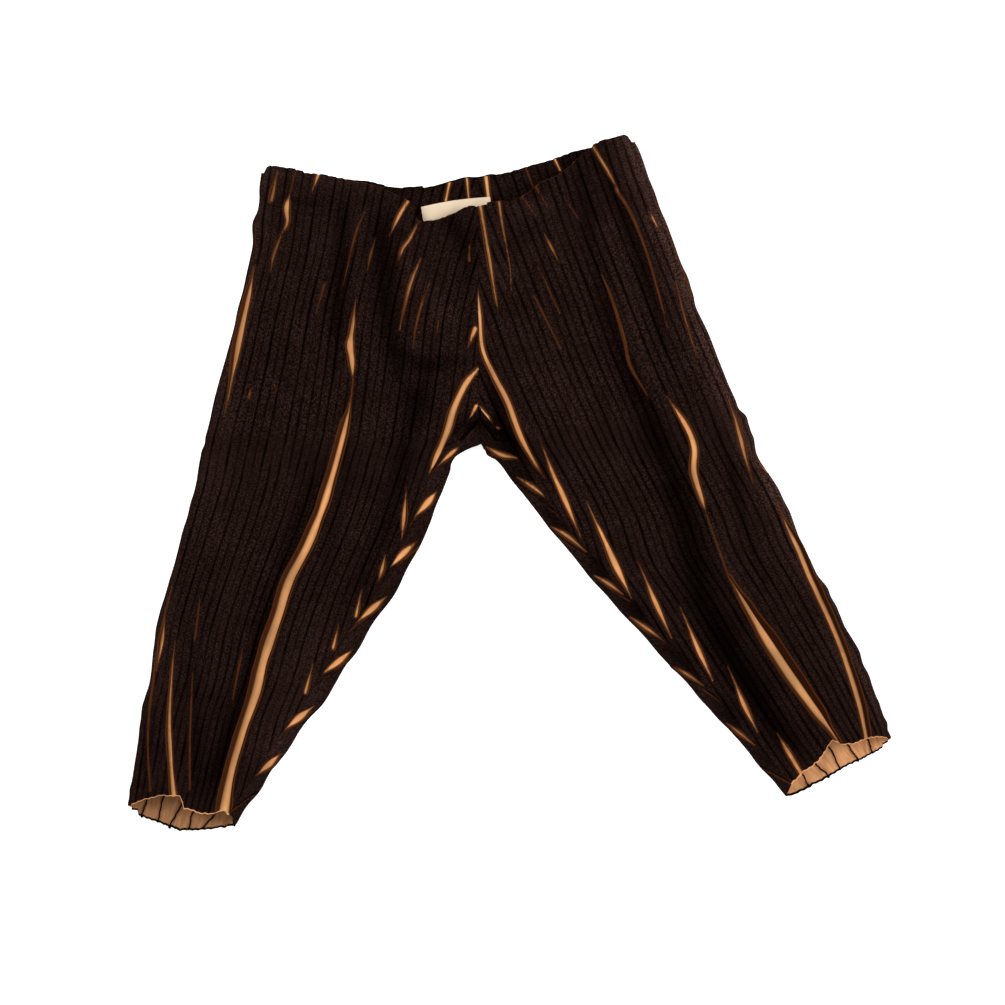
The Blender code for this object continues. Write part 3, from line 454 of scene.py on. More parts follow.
# %% Tables of openings
OPENING = "line rim_left rim_right tone".split()
FRONT_OPENINGS = {
    "left": {
        "side strip": ([(-267, 226, 0), (-275, 186, 5), (-283, 150, 6.3), (-298, 69, 0)], 3.5, 1.2, 0.68),
        "waist 1": ([(-243, 326, 0.9), (-250, 296, 3.7)], 2.4, 0.8, 0.45),
        "waist 2": ([(-230, 304, 0), (-234, 288, 6), (-233, 272, 4), (-240, 258, 0)], 1, 1.6, 0.8),
        "waist 2 line": ([(-222, 335, 0.8), (-230, 304, 0.9)], 0.6, 0.6, 0),
        "hip sliver": ([(-238, 262, 0.8), (-247, 238, 2.6), (-250, 219, 0)], 0.9, 0.9, 0.4),
        "waist 3": ([(-199, 327, 4.2), (-208, 302, 0.5)], 1.2, 0.8, 0.8),
        "thigh diamond": ([(-160, 196, 0), (-165, 160, 4), (-167, 144, 8.6), (-165, 128, 6.4),
            (-164, 106, 0)], 1.4, 1.2, 0.77),
        "hip line 1": ([(-151, 286, 0), (-161, 261, 1.6), (-175, 205, 0)], 0.8, 0.8, 0.1),
        "hip line 2": ([(-141, 256, 0), (-146, 238, 2), (-149, 222, 0)], 0.7, 0.7, 0.4),
        "hip line 3": ([(-194, 207, 1.1), (-203, 176, 0.6)], 0.6, 0.6, 0.1),
        "hip line 4": ([(-247, 105, 1.2), (-244, 96, 0.4)], 0.6, 0.6, 0),
        "sag outer": ([(-104, 299, 4.4), (-115, 281, 4.2), (-126, 258, 0.4)], 1.2, 0.9, 0.95),
        "sag inner": ([(-94, 276, 0.8), (-104, 256, 3), (-112, 244, 2.8), (-117, 228, 0.4)], 1, 1, 0.76),
        "bulge line 1": ([(-93, 234, 1), (-103, 209, 3.4), (-109, 186, 2), (-115, 158, 0.8)], 1, 1, 0.8),
        "bulge line 2": ([(-84, 208, 0.6), (-92, 185, 1.8), (-98, 162, 1.2),
            (-101, 138, 0.5)], 0.8, 0.8, 0.29),
        "bulge line 3": ([(-74, 170, 0.8), (-77, 154, 0.5)], 0.6, 0.6, 0),
        "centre slit": ([(-42, 250, 0.8), (-42, 232, 2)], 1.2, 0.6, 0.19),
        "centre sliver": ([(-36, 161, 5.4), (-45, 138, 0.6)], 0.8, 1, 0.9),
        "thigh line": ([(-164, 106, 1), (-165, 94, 1)], 0.6, 0.6, 0.1),
        "long strip": ([(-165, 92, 0), (-174, 50, 5.6), (-193, -18, 7.6), (-211, -65, 8.8), (-231, -104, 9.6),
            (-242, -140, 9.6), (-256, -181, 9.8), (-266, -222, 9.6), (-280, -263, 7.6), (-292, -306, 8.2),
            (-302, -360, 11.5)], 4.4, 2.2, 0.86),
        "lower side strip": ([(-350, -165, 0), (-354, -205, 2), (-356, -265, 4.2),
            (-350, -340, 5.5)], 1.4, 1, 0.78),
        "low side sliver": ([(-361, -140, 0), (-364, -166, 3.6), (-370, -198, 0)], 3, 0.8, 0.78),
        "side line": ([(-354, -108, 0.6), (-367, -165, 1.2), (-375, -221, 1.4), (-379, -270, 1.2),
            (-376, -323, 1.2)], 0.9, 0.9, 0),
        "knee speck": ([(-270, 101, 0.5), (-273, 89, 2.4)], 0.8, 0.8, 0.78),
        "inner strip": ([(-33, 119, 3), (-46, 103, 6.4), (-58, 78, 7.4), (-65, 55, 7.4), (-75, 30, 6.4),
            (-86, 6, 0)], 1.4, 1.2, 0.8),
        "inseam end 1": ([(-108, -4, 0), (-111, -38, 4.4), (-113, -60, 0.5)], 0.9, 2, 0.94),
        "inseam end 2": ([(-130, -74, 0), (-134, -92, 4), (-138, -104, 0.5)], 0.8, 1.6, 0.94),
        "inseam end 3": ([(-155, -112, 0.5), (-161, -140, 3.6)], 0.8, 1.6, 0.86),
        "inseam end 4": ([(-179, -148, 0.5), (-185, -174, 3.4)], 0.8, 1.4, 0.86),
        "inseam end 5": ([(-206, -190, 0.5), (-214, -220, 3.4)], 0.8, 1.4, 0.86),
        "shin line 1": ([(-324, -121, 0.5), (-329, -165, 1.2)], 0.7, 0.7, 0),
        "shin line 2": ([(-276, -157, 0.6), (-284, -197, 1.4), (-290, -228, 0.6)], 0.7, 0.7, 0.1),
        "shin line 3": ([(-331, -199, 0.5), (-335, -265, 1.1), (-336, -322, 1.1)], 0.7, 0.7, 0),
        "centre seam": ([(-33, 118, 0.9), (-33, 95, 0.9), (-34, 78, 0.6)], 0.2, 0.2, -1),
        "crotch chip 1": ([(-35, 80, 4.4), (-42, 66, 1.6)], 0.7, 0.7, 0.94),
        "crotch chip 2": ([(-46, 60, 3), (-38, 63, 2)], 0.7, 0.7, 0.94),
    },
    "right": {
        "centre strip": ([(-31, 292, 4), (-27, 270, 3.7), (-21, 234, 3.2), (-15, 196, 2.6),
            (-12, 181, 0)], 1.4, 1, 0.68),
        "waist 4": ([(-11, 294, 3), (-7, 266, 2), (0, 228, 0.9), (2, 200, 0.5)], 0.7, 0.7, 0.65),
        "centre fold": ([(-34, 212, 0), (-31, 172, 3.9), (-28, 139, 4.7), (-15, 110, 5.6), (-2, 85, 5.8),
            (11, 50, 5.8), (24, 25, 3.9), (37, 4, 0)], 1.6, 1.2, 0.92),
        "inseam long 1": ([(31, 47, 0.2), (38, 29, 1.4), (46, 8, 4.4), (57, -16, 6.4),
            (75, -58, 0.6)], 1, 1.3, 0.86),
        "inseam long 2": ([(80, -18, 0.2), (88, -36, 1.6), (98, -57, 4.6), (111, -86, 7.4),
            (128, -121, 0.6)], 1.6, 1.2, 0.97),
        "inseam long 3": ([(134, -82, 0.2), (142, -100, 1.6), (153, -126, 5.4),
            (170, -163, 0.8)], 1.2, 1.2, 0.86),
        "inseam long 4": ([(178, -130, 0.2), (186, -148, 1.6), (198, -176, 5.2),
            (213, -208, 0.8)], 1.2, 1.2, 0.9),
        "inseam long 5": ([(228, -192, 0.2), (236, -210, 1.4), (246, -234, 5),
            (260, -262, 0.8)], 1.2, 1.2, 0.86),
        "inseam long 6": ([(280, -262, 0), (293, -284, 4.6), (311, -314, 4)], 1.2, 1.2, 0.84),
        "long strip top": ([(163, 92, 0), (184, 60, 6), (193, 37, 6.7), (193, 11, 6.3), (201, -16, 5.2),
            (206, -32, 0)], 1.4, 1.4, 0.86),
        "long strip line": ([(206, -32, 0.8), (218, -66, 0.8), (230, -98, 0.8)], 0.8, 1.4, 0),
        "long strip": ([(230, -98, 0.4), (251, -134, 5.6), (273, -170, 8.8), (296, -205, 8.8), (319, -237, 7),
            (338, -262, 2.6), (350, -280, 0.9)], 2.4, 9, 0.82),
        "outer sliver": ([(227, 96, 0), (242, 45, 4.4), (256, -5, 0)], 1, 1.2, 0.66),
        "outer speck": ([(259, 27, 0.5), (271, 10, 2.2)], 0.8, 0.8, 0.65),
        "outer strip": ([(279, -22, 0), (301, -68, 4.7), (321, -114, 5.5), (344, -165, 5.7), (365, -228, 5.4),
            (377, -285, 4.7)], 1, 4.4, 0.68),
        "waist 5": ([(86, 355, 2.9), (103, 327, 2.9), (115, 305, 0.6)], 1, 1, 0.75),
        "waist 5 line": ([(112, 307, 2), (127, 283, 1.9), (144, 241, 1.5), (156, 200, 1.2),
            (166, 160, 0.4)], 1, 1, 0.19),
        "hip sliver": ([(147, 284, 0.6), (151, 275, 2.4), (158, 262, 0.6)], 0.8, 0.8, 0.78),
        "outer hip line": ([(174, 210, 0.8), (186, 164, 1.6), (197, 130, 0.8)], 0.8, 0.8, 0.29),
        "side edge line": ([(134, 352, 0.9), (152, 297, 0.9), (173, 245, 0.9), (190, 193, 0.9)], 0.7, 0.7, 0),
        "hip line 1": ([(36, 261, 0.5), (43, 248, 2.4), (51, 232, 0.5)], 0.8, 0.8, 0.65),
        "hip line 2": ([(11, 302, 1.4), (28, 279, 0.6)], 0.7, 0.7, 0.1),
        "hip line 3": ([(25, 314, 1.6), (40, 289, 0.6)], 0.7, 0.7, 0.1),
        "hip line 4": ([(61, 293, 1), (72, 276, 0.5)], 0.7, 0.7, 0),
        "thigh line 1": ([(30, 226, 1), (53, 176, 1)], 0.7, 0.7, 0),
        "thigh line 2": ([(25, 197, 1), (54, 139, 1)], 0.7, 0.7, 0),
        "thigh line 3": ([(97, 218, 0.6), (108, 192, 1.8), (121, 150, 2.2), (127, 123, 2.2),
            (145, 92, 0.8)], 1, 1, 0.19),
        "crotch chip": ([(-31, 79, 2.4), (-22, 66, 5.4)], 0.8, 0.8, 0.9),
        "crotch swirl": ([(-17, 60, 1.2), (-10, 56, 2.2)], 0.8, 0.8, 0.48),
    },
}
BACK_OPENINGS = {
    "left": {
        "slant 1": ([(-51, 39, 0), (-61, 31, 5.4), (-76, 17, 0)], 1.2, 1, 0.9),
        "slant 2": ([(-76, -8, 0), (-86, -21, 7.6), (-101, -38, 0)], 1.2, 1.2, 0.92),
        "slant 3": ([(-97, -61, 0), (-111, -74, 7.4), (-127, -91, 0)], 1.2, 1.2, 0.92),
        "slant 4": ([(-128, -118, 0), (-145, -133, 6.6), (-162, -148, 0)], 1, 1.4, 0.88),
        "slant 5": ([(-164, -174, 0), (-180, -188, 7), (-200, -203, 0)], 1, 1.4, 0.88),
        "slant 6": ([(-204, -233, 0), (-219, -245, 7.2), (-237, -260, 0)], 1, 1.4, 0.88),
        "slant 7": ([(-239, -282, 0), (-252, -295, 6), (-267, -308, 0)], 1, 1.4, 0.84),
    },
    "right": {
        "crotch slant": ([(-24, 38, 0.8), (-8, 29, 5), (11, 25, 0.6)], 1.6, 1.2, 0.5),
        "slant 1": ([(8, 6, 0.8), (25, -5, 3.8), (41, -18, 0.5)], 1.8, 1.4, 0.65),
        "slant 2": ([(44, -46, 0.8), (61, -56, 3.8), (81, -73, 0.5)], 1.8, 1.4, 0.65),
        "slant 3": ([(89, -97, 0.8), (104, -106, 3.6), (120, -118, 0.5)], 1.8, 1.4, 0.55),
        "slant 4": ([(126, -140, 0.8), (143, -152, 3.8), (160, -164, 0.5)], 1.8, 1.4, 0.65),
        "slant 5": ([(172, -192, 0.5), (188, -202, 3.4), (204, -213, 0.5)], 1.4, 1.2, 0.4),
        "slant 6": ([(227, -251, 0.5), (242, -263, 3.4), (258, -276, 0.5)], 1.4, 1.2, 0.4),
    },
}
FACING_OPENINGS = {
    "stripe 1": ([(-63, 317, 4), (-67, 297, 3.4)], 1, 1, 0.8),
    "stripe 2": ([(-45, 322, 3), (-43, 299, 2.6)], 1, 1, 0.72),
    "stripe 3": ([(-25, 324, 4.6), (-22, 298, 4)], 1, 1.4, 0.8),
    "stripe 4": ([(16, 334, 1), (25, 311, 1)], 0.8, 0.8, 0.1),
    "stripe 5": ([(47, 342, 3.4), (53, 329, 3)], 0.8, 0.8, 0.85),
}
openings = [row for table in (*FRONT_OPENINGS.values(), *BACK_OPENINGS.values()) for row in table.values()]
print(len(openings) + len(FACING_OPENINGS), "pleats lie open")

# %% [markdown]
# ## How an opening changes the cloth
# For every point of a panel these functions measure, in millimetres, how far inside the nearest opening it
# is. That one measure makes the trough in the cloth and, later, its colour, so the two always agree.

# %% Distance fields
OUTSIDE = -99.0
REACH = 16.0
CURVE_STEPS = 6
EDGE_WAVER = 0.5
RIM_LEAST = 0.3
GOLDEN_ANGLE = 2.39996  # radians, which keep the waves of different seeds apart


def uneven(seed, *coordinates):
    """A smooth, uneven value between about -1 and 1, worked out from a few waves."""
    total = 0.0
    for k in range(1, 4):
        phase = seed * GOLDEN_ANGLE * k
        for n, value in enumerate(coordinates):
            phase = phase + value * (0.61 + 0.37 * k + 0.29 * n)
        total = total + np.sin(phase) / k
    return total / 1.8


def smooth_line(rows):
    """A smooth curve through the rows' points, with the widths read along it."""
    points, widths = np.array(rows, float)[:, :2], [row[2] for row in rows]
    ends = np.vstack([2 * points[0] - points[1], points, 2 * points[-1] - points[-2]])
    line, broad = [], []
    for k in range(len(points) - 1):
        a, b, c, d = ends[k:k + 4]
        for t in np.arange(CURVE_STEPS) / CURVE_STEPS:
            bent = 2 * b + (c - a) * t + (2 * a - 5 * b + 4 * c - d) * t**2
            line.append((bent + (3 * b - a - 3 * c + d) * t**3) / 2)
            broad.append(widths[k] + (widths[k + 1] - widths[k]) * t * t * (3 - 2 * t))
    return np.vstack([line, points[-1]]), np.array([*broad, widths[-1]])


def opening_fields(x, y, table):
    """At each plan point: depth inside the nearest opening and its rim, its tone, and the place across it."""
    gap, rim, tone, lean = (np.full(x.shape, v) for v in (OUTSIDE, OUTSIDE, 1.0, 0.0))
    for row in table.values():
        opening = dict(zip(OPENING, row))
        line, broad = smooth_line(opening["line"])
        near = near_line(x, y, line[:, 0], line[:, 1], REACH)
        if not near.any():
            continue
        px, py = x[near], y[near]
        best, side, breadth = np.full(px.shape, OUTSIDE), np.zeros(px.shape), np.zeros(px.shape)
        for a, b, wide_a, wide_b in zip(line, line[1:], broad, broad[1:]):
            step = b - a
            t = np.clip(((px - a[0]) * step[0] + (py - a[1]) * step[1]) / (step @ step), 0, 1)
            off_x, off_y = px - a[0] - t * step[0], py - a[1] - t * step[1]
            half = (wide_a + (wide_b - wide_a) * t) / 2
            waver = EDGE_WAVER * uneven(3.0, px / 11, py / 14) * np.clip(half / 2, 0.2, 1)
            inside = half - np.hypot(off_x, off_y) + waver
            closer = inside > best
            best[closer], side[closer], breadth[closer] = inside[closer], off_x[closer], half[closer]
        # A rim fades with the opening's own width, so that pointed ends stay thin.
        wanted = np.where(side < 0, opening["rim_left"], opening["rim_right"])
        rims = best + wanted * np.clip(breadth / np.maximum(1.6, wanted / 1.8), RIM_LEAST, 1)
        take = best > gap[near]
        gap[near] = np.where(take, best, gap[near])
        tone[near] = np.where(take, opening["tone"], tone[near])
        rim[near] = np.maximum(rim[near], rims)
        lean[near] = np.where(take, np.clip(side / np.maximum(breadth, 0.5), -1.2, 1.2), lean[near])
    return gap, rim, tone, lean


GROOVE_HALF = 1.7
MIDDLE_GROOVE = 0.9  # depth of the fine line down the middle of a pleat
MIDDLE_HALF = 1.4
PLEAT_STRAY = 0.035  # how far a groove strays from its pleat line, in pleats
NEAR_OPENING = (-5, -1.5)  # where the cloth rises to an opening's lip
LIP = 0.5
LIP_HALF = 1.2
INTO_OPENING = (-0.6, 2.6)  # where it falls to the trough
TROUGH = 2.4
SIDE_CLEAR = 12.0  # how far from the side a trough has its full depth


def pleat_relief(pleat, first, pitch, along, gap, inset=99.0):
    """Height of the pleats over the plain surface, and each point's distance from its nearest groove."""
    turns = pleat - first + PLEAT_STRAY * uneven(5.0, along / 38, pleat * 1.7)
    number = np.floor(turns)
    away = np.abs(turns - np.round(turns)) * pitch
    middle = np.abs(turns - number - 0.5) * pitch
    rise = PLEAT_RISE * (0.82 + 0.18 * uneven(1.0, number * 7.3, along / 46))
    fine = MIDDLE_GROOVE * (0.7 + 0.3 * uneven(4.0, number * 3.1, along / 60))
    height = rise * (1 - np.exp(-(away / GROOVE_HALF)**2)) - fine * np.exp(-(middle / MIDDLE_HALF)**2)
    near = smooth_step(*NEAR_OPENING, gap)
    height = height * (1 - near) + near * (PLEAT_RISE + LIP * np.exp(-((gap + 1) / LIP_HALF)**2))
    deep = smooth_step(*INTO_OPENING, gap) * smooth_step(0, SIDE_CLEAR, inset)
    faint = middle + 0.35 + 0.3 * uneven(6.0, number * 2.3, along / 50)
    return height - deep * (TROUGH + PLEAT_RISE), np.minimum(away, faint) + np.maximum(gap + 3, 0)


# %% [markdown]
# ## A thin closed wall of cloth
# Each panel is a grid of points. The outer face carries the pleats; the inner face lies one cloth's
# thickness below the plain surface; a narrow rim joins them along every edge, so the wall is closed.

# %% From grids to a mesh
FIELDS = "gap rim tone lean groove light".split()
SHARP = math.radians(60)
HEM_STEP = 30.0  # rough millimetres from one of the last stations to the next
INSIDE_EDGE = 2.0  # width of the dark line where the back hem's face turns over its edge
EDGE_ROW = 0.01  # how near to the first or last row an edge counts as raw


def numbered(keep):
    """The kept places of a grid counted row by row, and -1 at the others."""
    return np.where(keep, np.cumsum(keep).reshape(keep.shape) - 1, -1)


def grid_cells(numbers):
    """Quads, and triangles where a column ends, between the rows of a grid of point numbers."""
    a, b = numbers[:-1, :-1].ravel(), numbers[1:, :-1].ravel()
    c, d = numbers[1:, 1:].ravel(), numbers[:-1, 1:].ravel()
    cells = []
    for corners in zip(a.tolist(), b.tolist(), c.tolist(), d.tolist()):
        whole = [n for k, n in enumerate(corners) if n not in corners[:k]]
        if len(whole) > 2:
            cells.append(whole)
    return cells


def open_sides(cells):
    """Directed edges that only one cell has."""
    sides = set()
    for corners in cells:
        for a, b in zip(corners, corners[1:] + corners[:1]):
            if (b, a) in sides:
                sides.discard((b, a))
            else:
                sides.add((a, b))
    return sorted(sides)


def closed_wall(name, outer, inner, cells, rows, fields, uv, materials, inside_from):
    """One closed mesh. Its materials are the face, the inside from one row downwards, and the raw edges."""
    count = len(outer)
    rims = open_sides(cells)
    faces = cells + [[n + count for n in reversed(c)] for c in cells]
    faces += [[b, a, a + count, b + count] for a, b in rims]
    points = (np.vstack([outer, inner]) + SETTLED) * MM
    mesh = bpy.data.meshes.new(name)
    mesh.from_pydata(points.tolist(), [], faces)
    for material in materials:
        mesh.materials.append(material)
    inside = [int(rows[c[0]] > inside_from) for c in cells]
    raw = [min(rows[a], rows[b]) > HEM - EDGE_ROW or max(rows[a], rows[b]) < EDGE_ROW for a, b in rims]
    mesh.polygons.foreach_set("material_index", [0] * len(cells) + inside + [2 * int(edge) for edge in raw])
    inside_fields = {**fields, "gap": np.full(count, OUTSIDE), "rim": INSIDE_EDGE - (HEM - rows) * HEM_STEP}
    for field in FIELDS:
        values = np.concatenate([fields[field], inside_fields[field]]).astype(np.float32)
        mesh.attributes.new(field, "FLOAT", "POINT").data.foreach_set("value", values)
    corner = np.empty(len(mesh.loops), int)
    mesh.loops.foreach_get("vertex_index", corner)
    places = np.vstack([uv, uv])[corner].astype(np.float32)
    mesh.uv_layers.new(name="cloth").data.foreach_set("uv", places.ravel())
    a, b, c = (points[[face[k] for face in faces]] for k in range(3))
    if np.einsum("ij,ij->i", a, np.cross(b, c)).sum() < 0:
        mesh.flip_normals()
    mesh.shade_smooth()
    mesh.set_sharp_from_angle(angle=SHARP)
    mesh.update()
    return placed(name, mesh)


# %% [markdown]
# ## The cloth's colours
# The face is a very dark brown with a faint grey-violet sheen, painted on where the crinkled surface would
# catch light. The same recipe reads the distance fields: tan inside an opening, with painted shade towards
# its walls and a thin burnt-orange rim, and fine lines of painted shade at the closed grooves. A light field
# multiplies in the painted shade and light of the bends, the side edges and the hems.

# %% Materials


class Recipe:
    """Shader nodes of one material, written as small sums."""

    def __init__(self, name):
        self.material = bpy.data.materials.new(name)
        self.material.use_nodes = True
        self.tree = self.material.node_tree
        self.shader = self.tree.nodes["Principled BSDF"]

    def feed(self, socket, value):
        if isinstance(value, bpy.types.NodeSocket):
            self.tree.links.new(value, socket)
        elif isinstance(value, (int, float)):
            socket.default_value = value
        else:
            socket.default_value = (*value, 1)[:len(socket.default_value)]

    def made(self, kind, output, inputs, **settings):
        """An output of a new node, whose inputs are fed by name or number."""
        node = self.tree.nodes.new("ShaderNode" + kind)
        for key, value in settings.items():
            setattr(node, key, value)
        for key, value in inputs.items():
            self.feed(node.inputs[key], value)
        return node.outputs[output]

    def field(self, name):
        return self.made("Attribute", "Fac", {}, attribute_name=name)

    def sum(self, operation, *values):
        return self.made("Math", 0, dict(enumerate(values)), operation=operation)

    def by(self, one, other):
        return self.sum("MULTIPLY", one, other)

    def linear(self, value, gain, base):
        return self.sum("MULTIPLY_ADD", value, gain, base)

    def between(self, low, high, value):
        """0 below low, 1 above high, smooth between."""
        inputs = {"Value": value, "From Min": low, "From Max": high}
        return self.made("MapRange", "Result", inputs, interpolation_type="SMOOTHSTEP")

    def mix(self, share, one, other):
        node = self.tree.nodes.new("ShaderNodeMix")
        node.data_type = "RGBA"
        sockets = {socket.identifier: socket for socket in (*node.inputs, *node.outputs)}
        for identifier, value in (("Factor_Float", share), ("A_Color", one), ("B_Color", other)):
            self.feed(sockets[identifier], value)
        return sockets["Result_Color"]

    def times(self, colour, factor):
        return self.made("VectorMath", 0, {0: colour, "Scale": factor}, operation="SCALE")

    def cloth_place(self):
        """A point's places across and along the pleats, in pleat widths."""
        split = self.tree.nodes.new("ShaderNodeSeparateXYZ")
        self.feed(split.inputs[0], self.made("UVMap", 0, {}, uv_map="cloth"))
        return split.outputs[0], split.outputs[1]

    def noise(self, place, scale, detail=2.0):
        return self.made("TexNoise", 0, {"Vector": place, "Scale": scale, "Detail": detail})

    def object_noise(self, scale):
        return self.noise(self.made("TexCoord", "Object", {}), scale)

    def cloth_noise(self, across_scale, along_scale, detail=2.0):
        """Noise that keeps to the pleats."""
        across, along = self.cloth_place()
        stretched = {0: self.by(across, across_scale), 1: self.by(along, along_scale)}
        return self.noise(self.made("CombineXYZ", 0, stretched), 1.0, detail)

    def finish(self, colour, roughness, height=None, strength=0.4, distance=0.0004):
        """The material, once its colour and roughness are set and its height, if any, is bumped."""
        inputs = self.shader.inputs
        self.feed(inputs["Base Color"], colour)
        inputs["Roughness"].default_value = roughness
        inputs["Specular IOR Level"].default_value = 0.0
        if height is not None:
            bump = self.made("Bump", 0, {"Strength": strength, "Distance": distance, "Height": height})
            self.feed(inputs["Normal"], bump)
        return self.material


DARK = (0.0066, 0.0026, 0.0018)
PAINTED_SHEEN_VIOLET = (0.0285, 0.0150, 0.0126)
# BLACK is the painted shade in closed grooves, and also the colour of plain dark seams
BLACK = (0.0012, 0.0005, 0.0004)
ORANGE = (0.072, 0.0205, 0.0055)
UMBER = (0.020, 0.0060, 0.0020)
UMBER_LIT = (0.046, 0.0140, 0.0050)
TAN = (0.88, 0.425, 0.172)
TAN_SHADE = (0.27, 0.108, 0.042)
EDGE_TAN = (0.20, 0.085, 0.030)
INSIDE_TAN = (0.58, 0.285, 0.130)
INSIDE_SHADE = (0.44, 0.20, 0.088)
CREAM = (0.86, 0.69, 0.495)
THREAD = (0.005, 0.004, 0.004)
CLOTH_ROUGHNESS = 0.9
SMOOTH_ROUGHNESS = 0.85


def crinkle(recipe):
    """Small uneven chevrons, a few to each pleat, as the heat-set cloth has."""
    across, along = recipe.cloth_place()
    lean = recipe.sum("PINGPONG", recipe.by(across, 2.0), 0.5)
    slant = recipe.sum("ADD", recipe.by(along, 5.0), recipe.by(lean, 1.3))
    stray = recipe.cloth_noise(5.0, 5.0, detail=3.0)
    wave = recipe.sum("SINE", recipe.by(recipe.linear(stray, 4.2, slant), 2 * math.pi))
    fine = recipe.cloth_noise(15.0, 12.0)
    return recipe.linear(wave, 0.17, recipe.linear(fine, 1.15, -0.06))


def pleated_material(name, strength):
    """The two-tone pleated cloth; a strength below 1 paints shade over all of it, for cloth in the dark of
    the waist.
    """
    recipe = Recipe(name)
    by, linear, between, mix = recipe.by, recipe.linear, recipe.between, recipe.mix
    gap, rim, tone, lean, groove, light = (recipe.field(name) for name in FIELDS)
    grain = crinkle(recipe)
    patches = between(0.3, 0.65, recipe.object_noise(30.0))
    # The closed face, with painted shade in black along its grooves and orange or umber at an opening's rim
    # The violet specks are a painted sheen, where the crinkles would catch light
    speck = by(between(0.36, 0.8, grain), linear(patches, 0.35, 0.65))
    line = between(0.7, 3.6, linear(recipe.cloth_noise(2.1, 0.35), 2.2, groove))
    face = recipe.times(mix(line, BLACK, mix(speck, DARK, PAINTED_SHEEN_VIOLET)), by(light, strength))
    glow = by(between(-0.6, 0.4, rim), between(-0.6, 0.0, tone))
    # Painted light: the umber rim is lighter on its side towards -X, darker on the other
    umber = mix(between(-0.5, 0.5, lean), UMBER_LIT, UMBER)
    face = mix(glow, face, mix(between(0.6, 1.8, rim), ORANGE, umber))
    # The depth of an opening, lit most along its middle
    off = recipe.sum("ADD", lean, -0.08)
    lit = by(linear(by(off, off), -0.72, 1.0), linear(patches, 0.25, 0.75))
    lit = by(lit, linear(recipe.sum("MINIMUM", light, 1.0), 0.4, 0.6))
    # The depth of an opening: painted light along its middle, painted shade towards its walls and in the
    # bends
    lit = by(lit, linear(between(0.6, 1.0, tone), 0.4, 0.6))
    clear = recipe.times(mix(between(0.1, 1.4, gap), TAN_SHADE, TAN), lit)
    depth = mix(between(-0.5, 0.0, tone), BLACK, mix(between(0.0, 0.6, tone), ORANGE, clear))
    colour = mix(between(-0.25, 0.35, gap), face, depth)
    dents = by(grain, between(0.5, -0.5, gap))
    return recipe.finish(colour, CLOTH_ROUGHNESS, dents, strength=0.8, distance=0.0008)


def inside_material():
    recipe = Recipe("inside of the cloth")
    fold = recipe.between(0.3, 0.7, recipe.cloth_noise(3.2, 0.6, detail=1.0))
    # The light field paints shade or light on the inside, such as the hems' painted shade and light
    colour = recipe.times(recipe.mix(fold, INSIDE_SHADE, INSIDE_TAN), recipe.field("light"))
    colour = recipe.mix(recipe.between(-0.2, 0.3, recipe.field("rim")), colour, DARK)
    return recipe.finish(colour, SMOOTH_ROUGHNESS, recipe.object_noise(900.0))


def plain_material(name, colour, grain_scale):
    recipe = Recipe(name)
    grain = recipe.object_noise(grain_scale)
    darker = tuple(0.8 * v for v in colour)
    return recipe.finish(recipe.mix(grain, darker, colour), SMOOTH_ROUGHNESS, grain)


PLEATED = pleated_material("pleated cloth", 1.0)
# The facing's copy has painted shade, a tenth darker all over
SHADED_FACING_CLOTH = pleated_material("facing cloth", 0.9)
INSIDE = inside_material()
RAW_EDGE = plain_material("raw edge", EDGE_TAN, 1500.0)
LABEL_CLOTH = plain_material("label cloth", CREAM, 1400.0)
THREAD_DARK = plain_material("dark thread", THREAD, 2500.0)
print("materials", [m.name for m in (PLEATED, INSIDE, RAW_EDGE, LABEL_CLOTH, THREAD_DARK)])

# %% [markdown]
# ## The front panels
# A front panel runs from the side seam, round the side edge and over the top, to the centre seam and the
# inseam. Its columns follow the pleats, with more of them close to each groove, where the cloth turns most.

# %% Front panels
ROWS_PER_STATION = 15
ROWS = np.linspace(0, HEM, HEM * ROWS_PER_STATION + 1)
PLEAT_PARTS = [0, 0.05, 0.1, 0.17, 0.26, 0.38, 0.46, 0.54, 0.62, 0.74, 0.83, 0.9, 0.95]
MOST_PLEATS = 16
MIN_CELL = 0.4
SIDE_SEAM_ANGLE = -45
SIDE_ANGLES = [-45, -30, -15, 0, 15, 30, 42, 53]
SEAM_FLAT = 4.0  # how far from a seam the pleats have their full height
HEM_JAG = 0.9
WAIST_JAG = 1.1
JAG_REACH = 0.4  # stations
STATION_LENGTH = 45.0  # rough millimetres from station to station, on average
WAIST_STEP = 41.0  # the same from the first to the second
HEM_LINE = 2.4  # strength of the tan line where a front hem's cloth turns over its edge
HEM_LINE_TONE = 0.9
HEM_LINE_LEAN = 0.3
WAIST_LINE = 0.3  # width of the orange line along the front's waist
WAIST_LINE_TONE = -0.2
# Painted light along each side edge, stronger above the knee
EDGE_LIGHT = {"left": (0.7, 0.35), "right": (1.9, 1.0)}  # how much lighter a side is above and below its knee
EDGE_LIGHT_REACH = 16.0
KNEE = (7, 11)  # stations between which the one passes to the other
INSIDE_ROWS = 9.0
SIDE_WAVE = 1.0
SIDE_SCALLOPS = {"left": 0.5, "right": 1.1}
# Where the side edge swells or draws in: station, half length in stations, millimetres out
SIDE_BUMPS = {
    "left": [(0.75, 0.25, -2.2), (1.05, 0.2, -2), (1.45, 0.4, 3.6), (4.8, 0.25, -1.5), (8.7, 0.9, -2.4),
             (9.65, 0.25, 1.5), (10.3, 0.6, -1.6), (12.5, 0.3, -1.2)],
    "right": [(0.5, 0.6, 2), (1.45, 0.4, 1.8), (3.6, 0.3, -1.8), (3.45, 0.15, 2.4), (4.75, 0.4, -2.5),
              (5.85, 0.5, 3.5), (6.6, 0.35, 1.8), (7.2, 0.3, -2.5), (7.75, 0.2, 2.2), (12.4, 0.25, -1.3)],
}


def in_rows(count):
    """The rows' stations, the same in each of some columns."""
    return np.broadcast_to(ROWS[:, None], (len(ROWS), count))


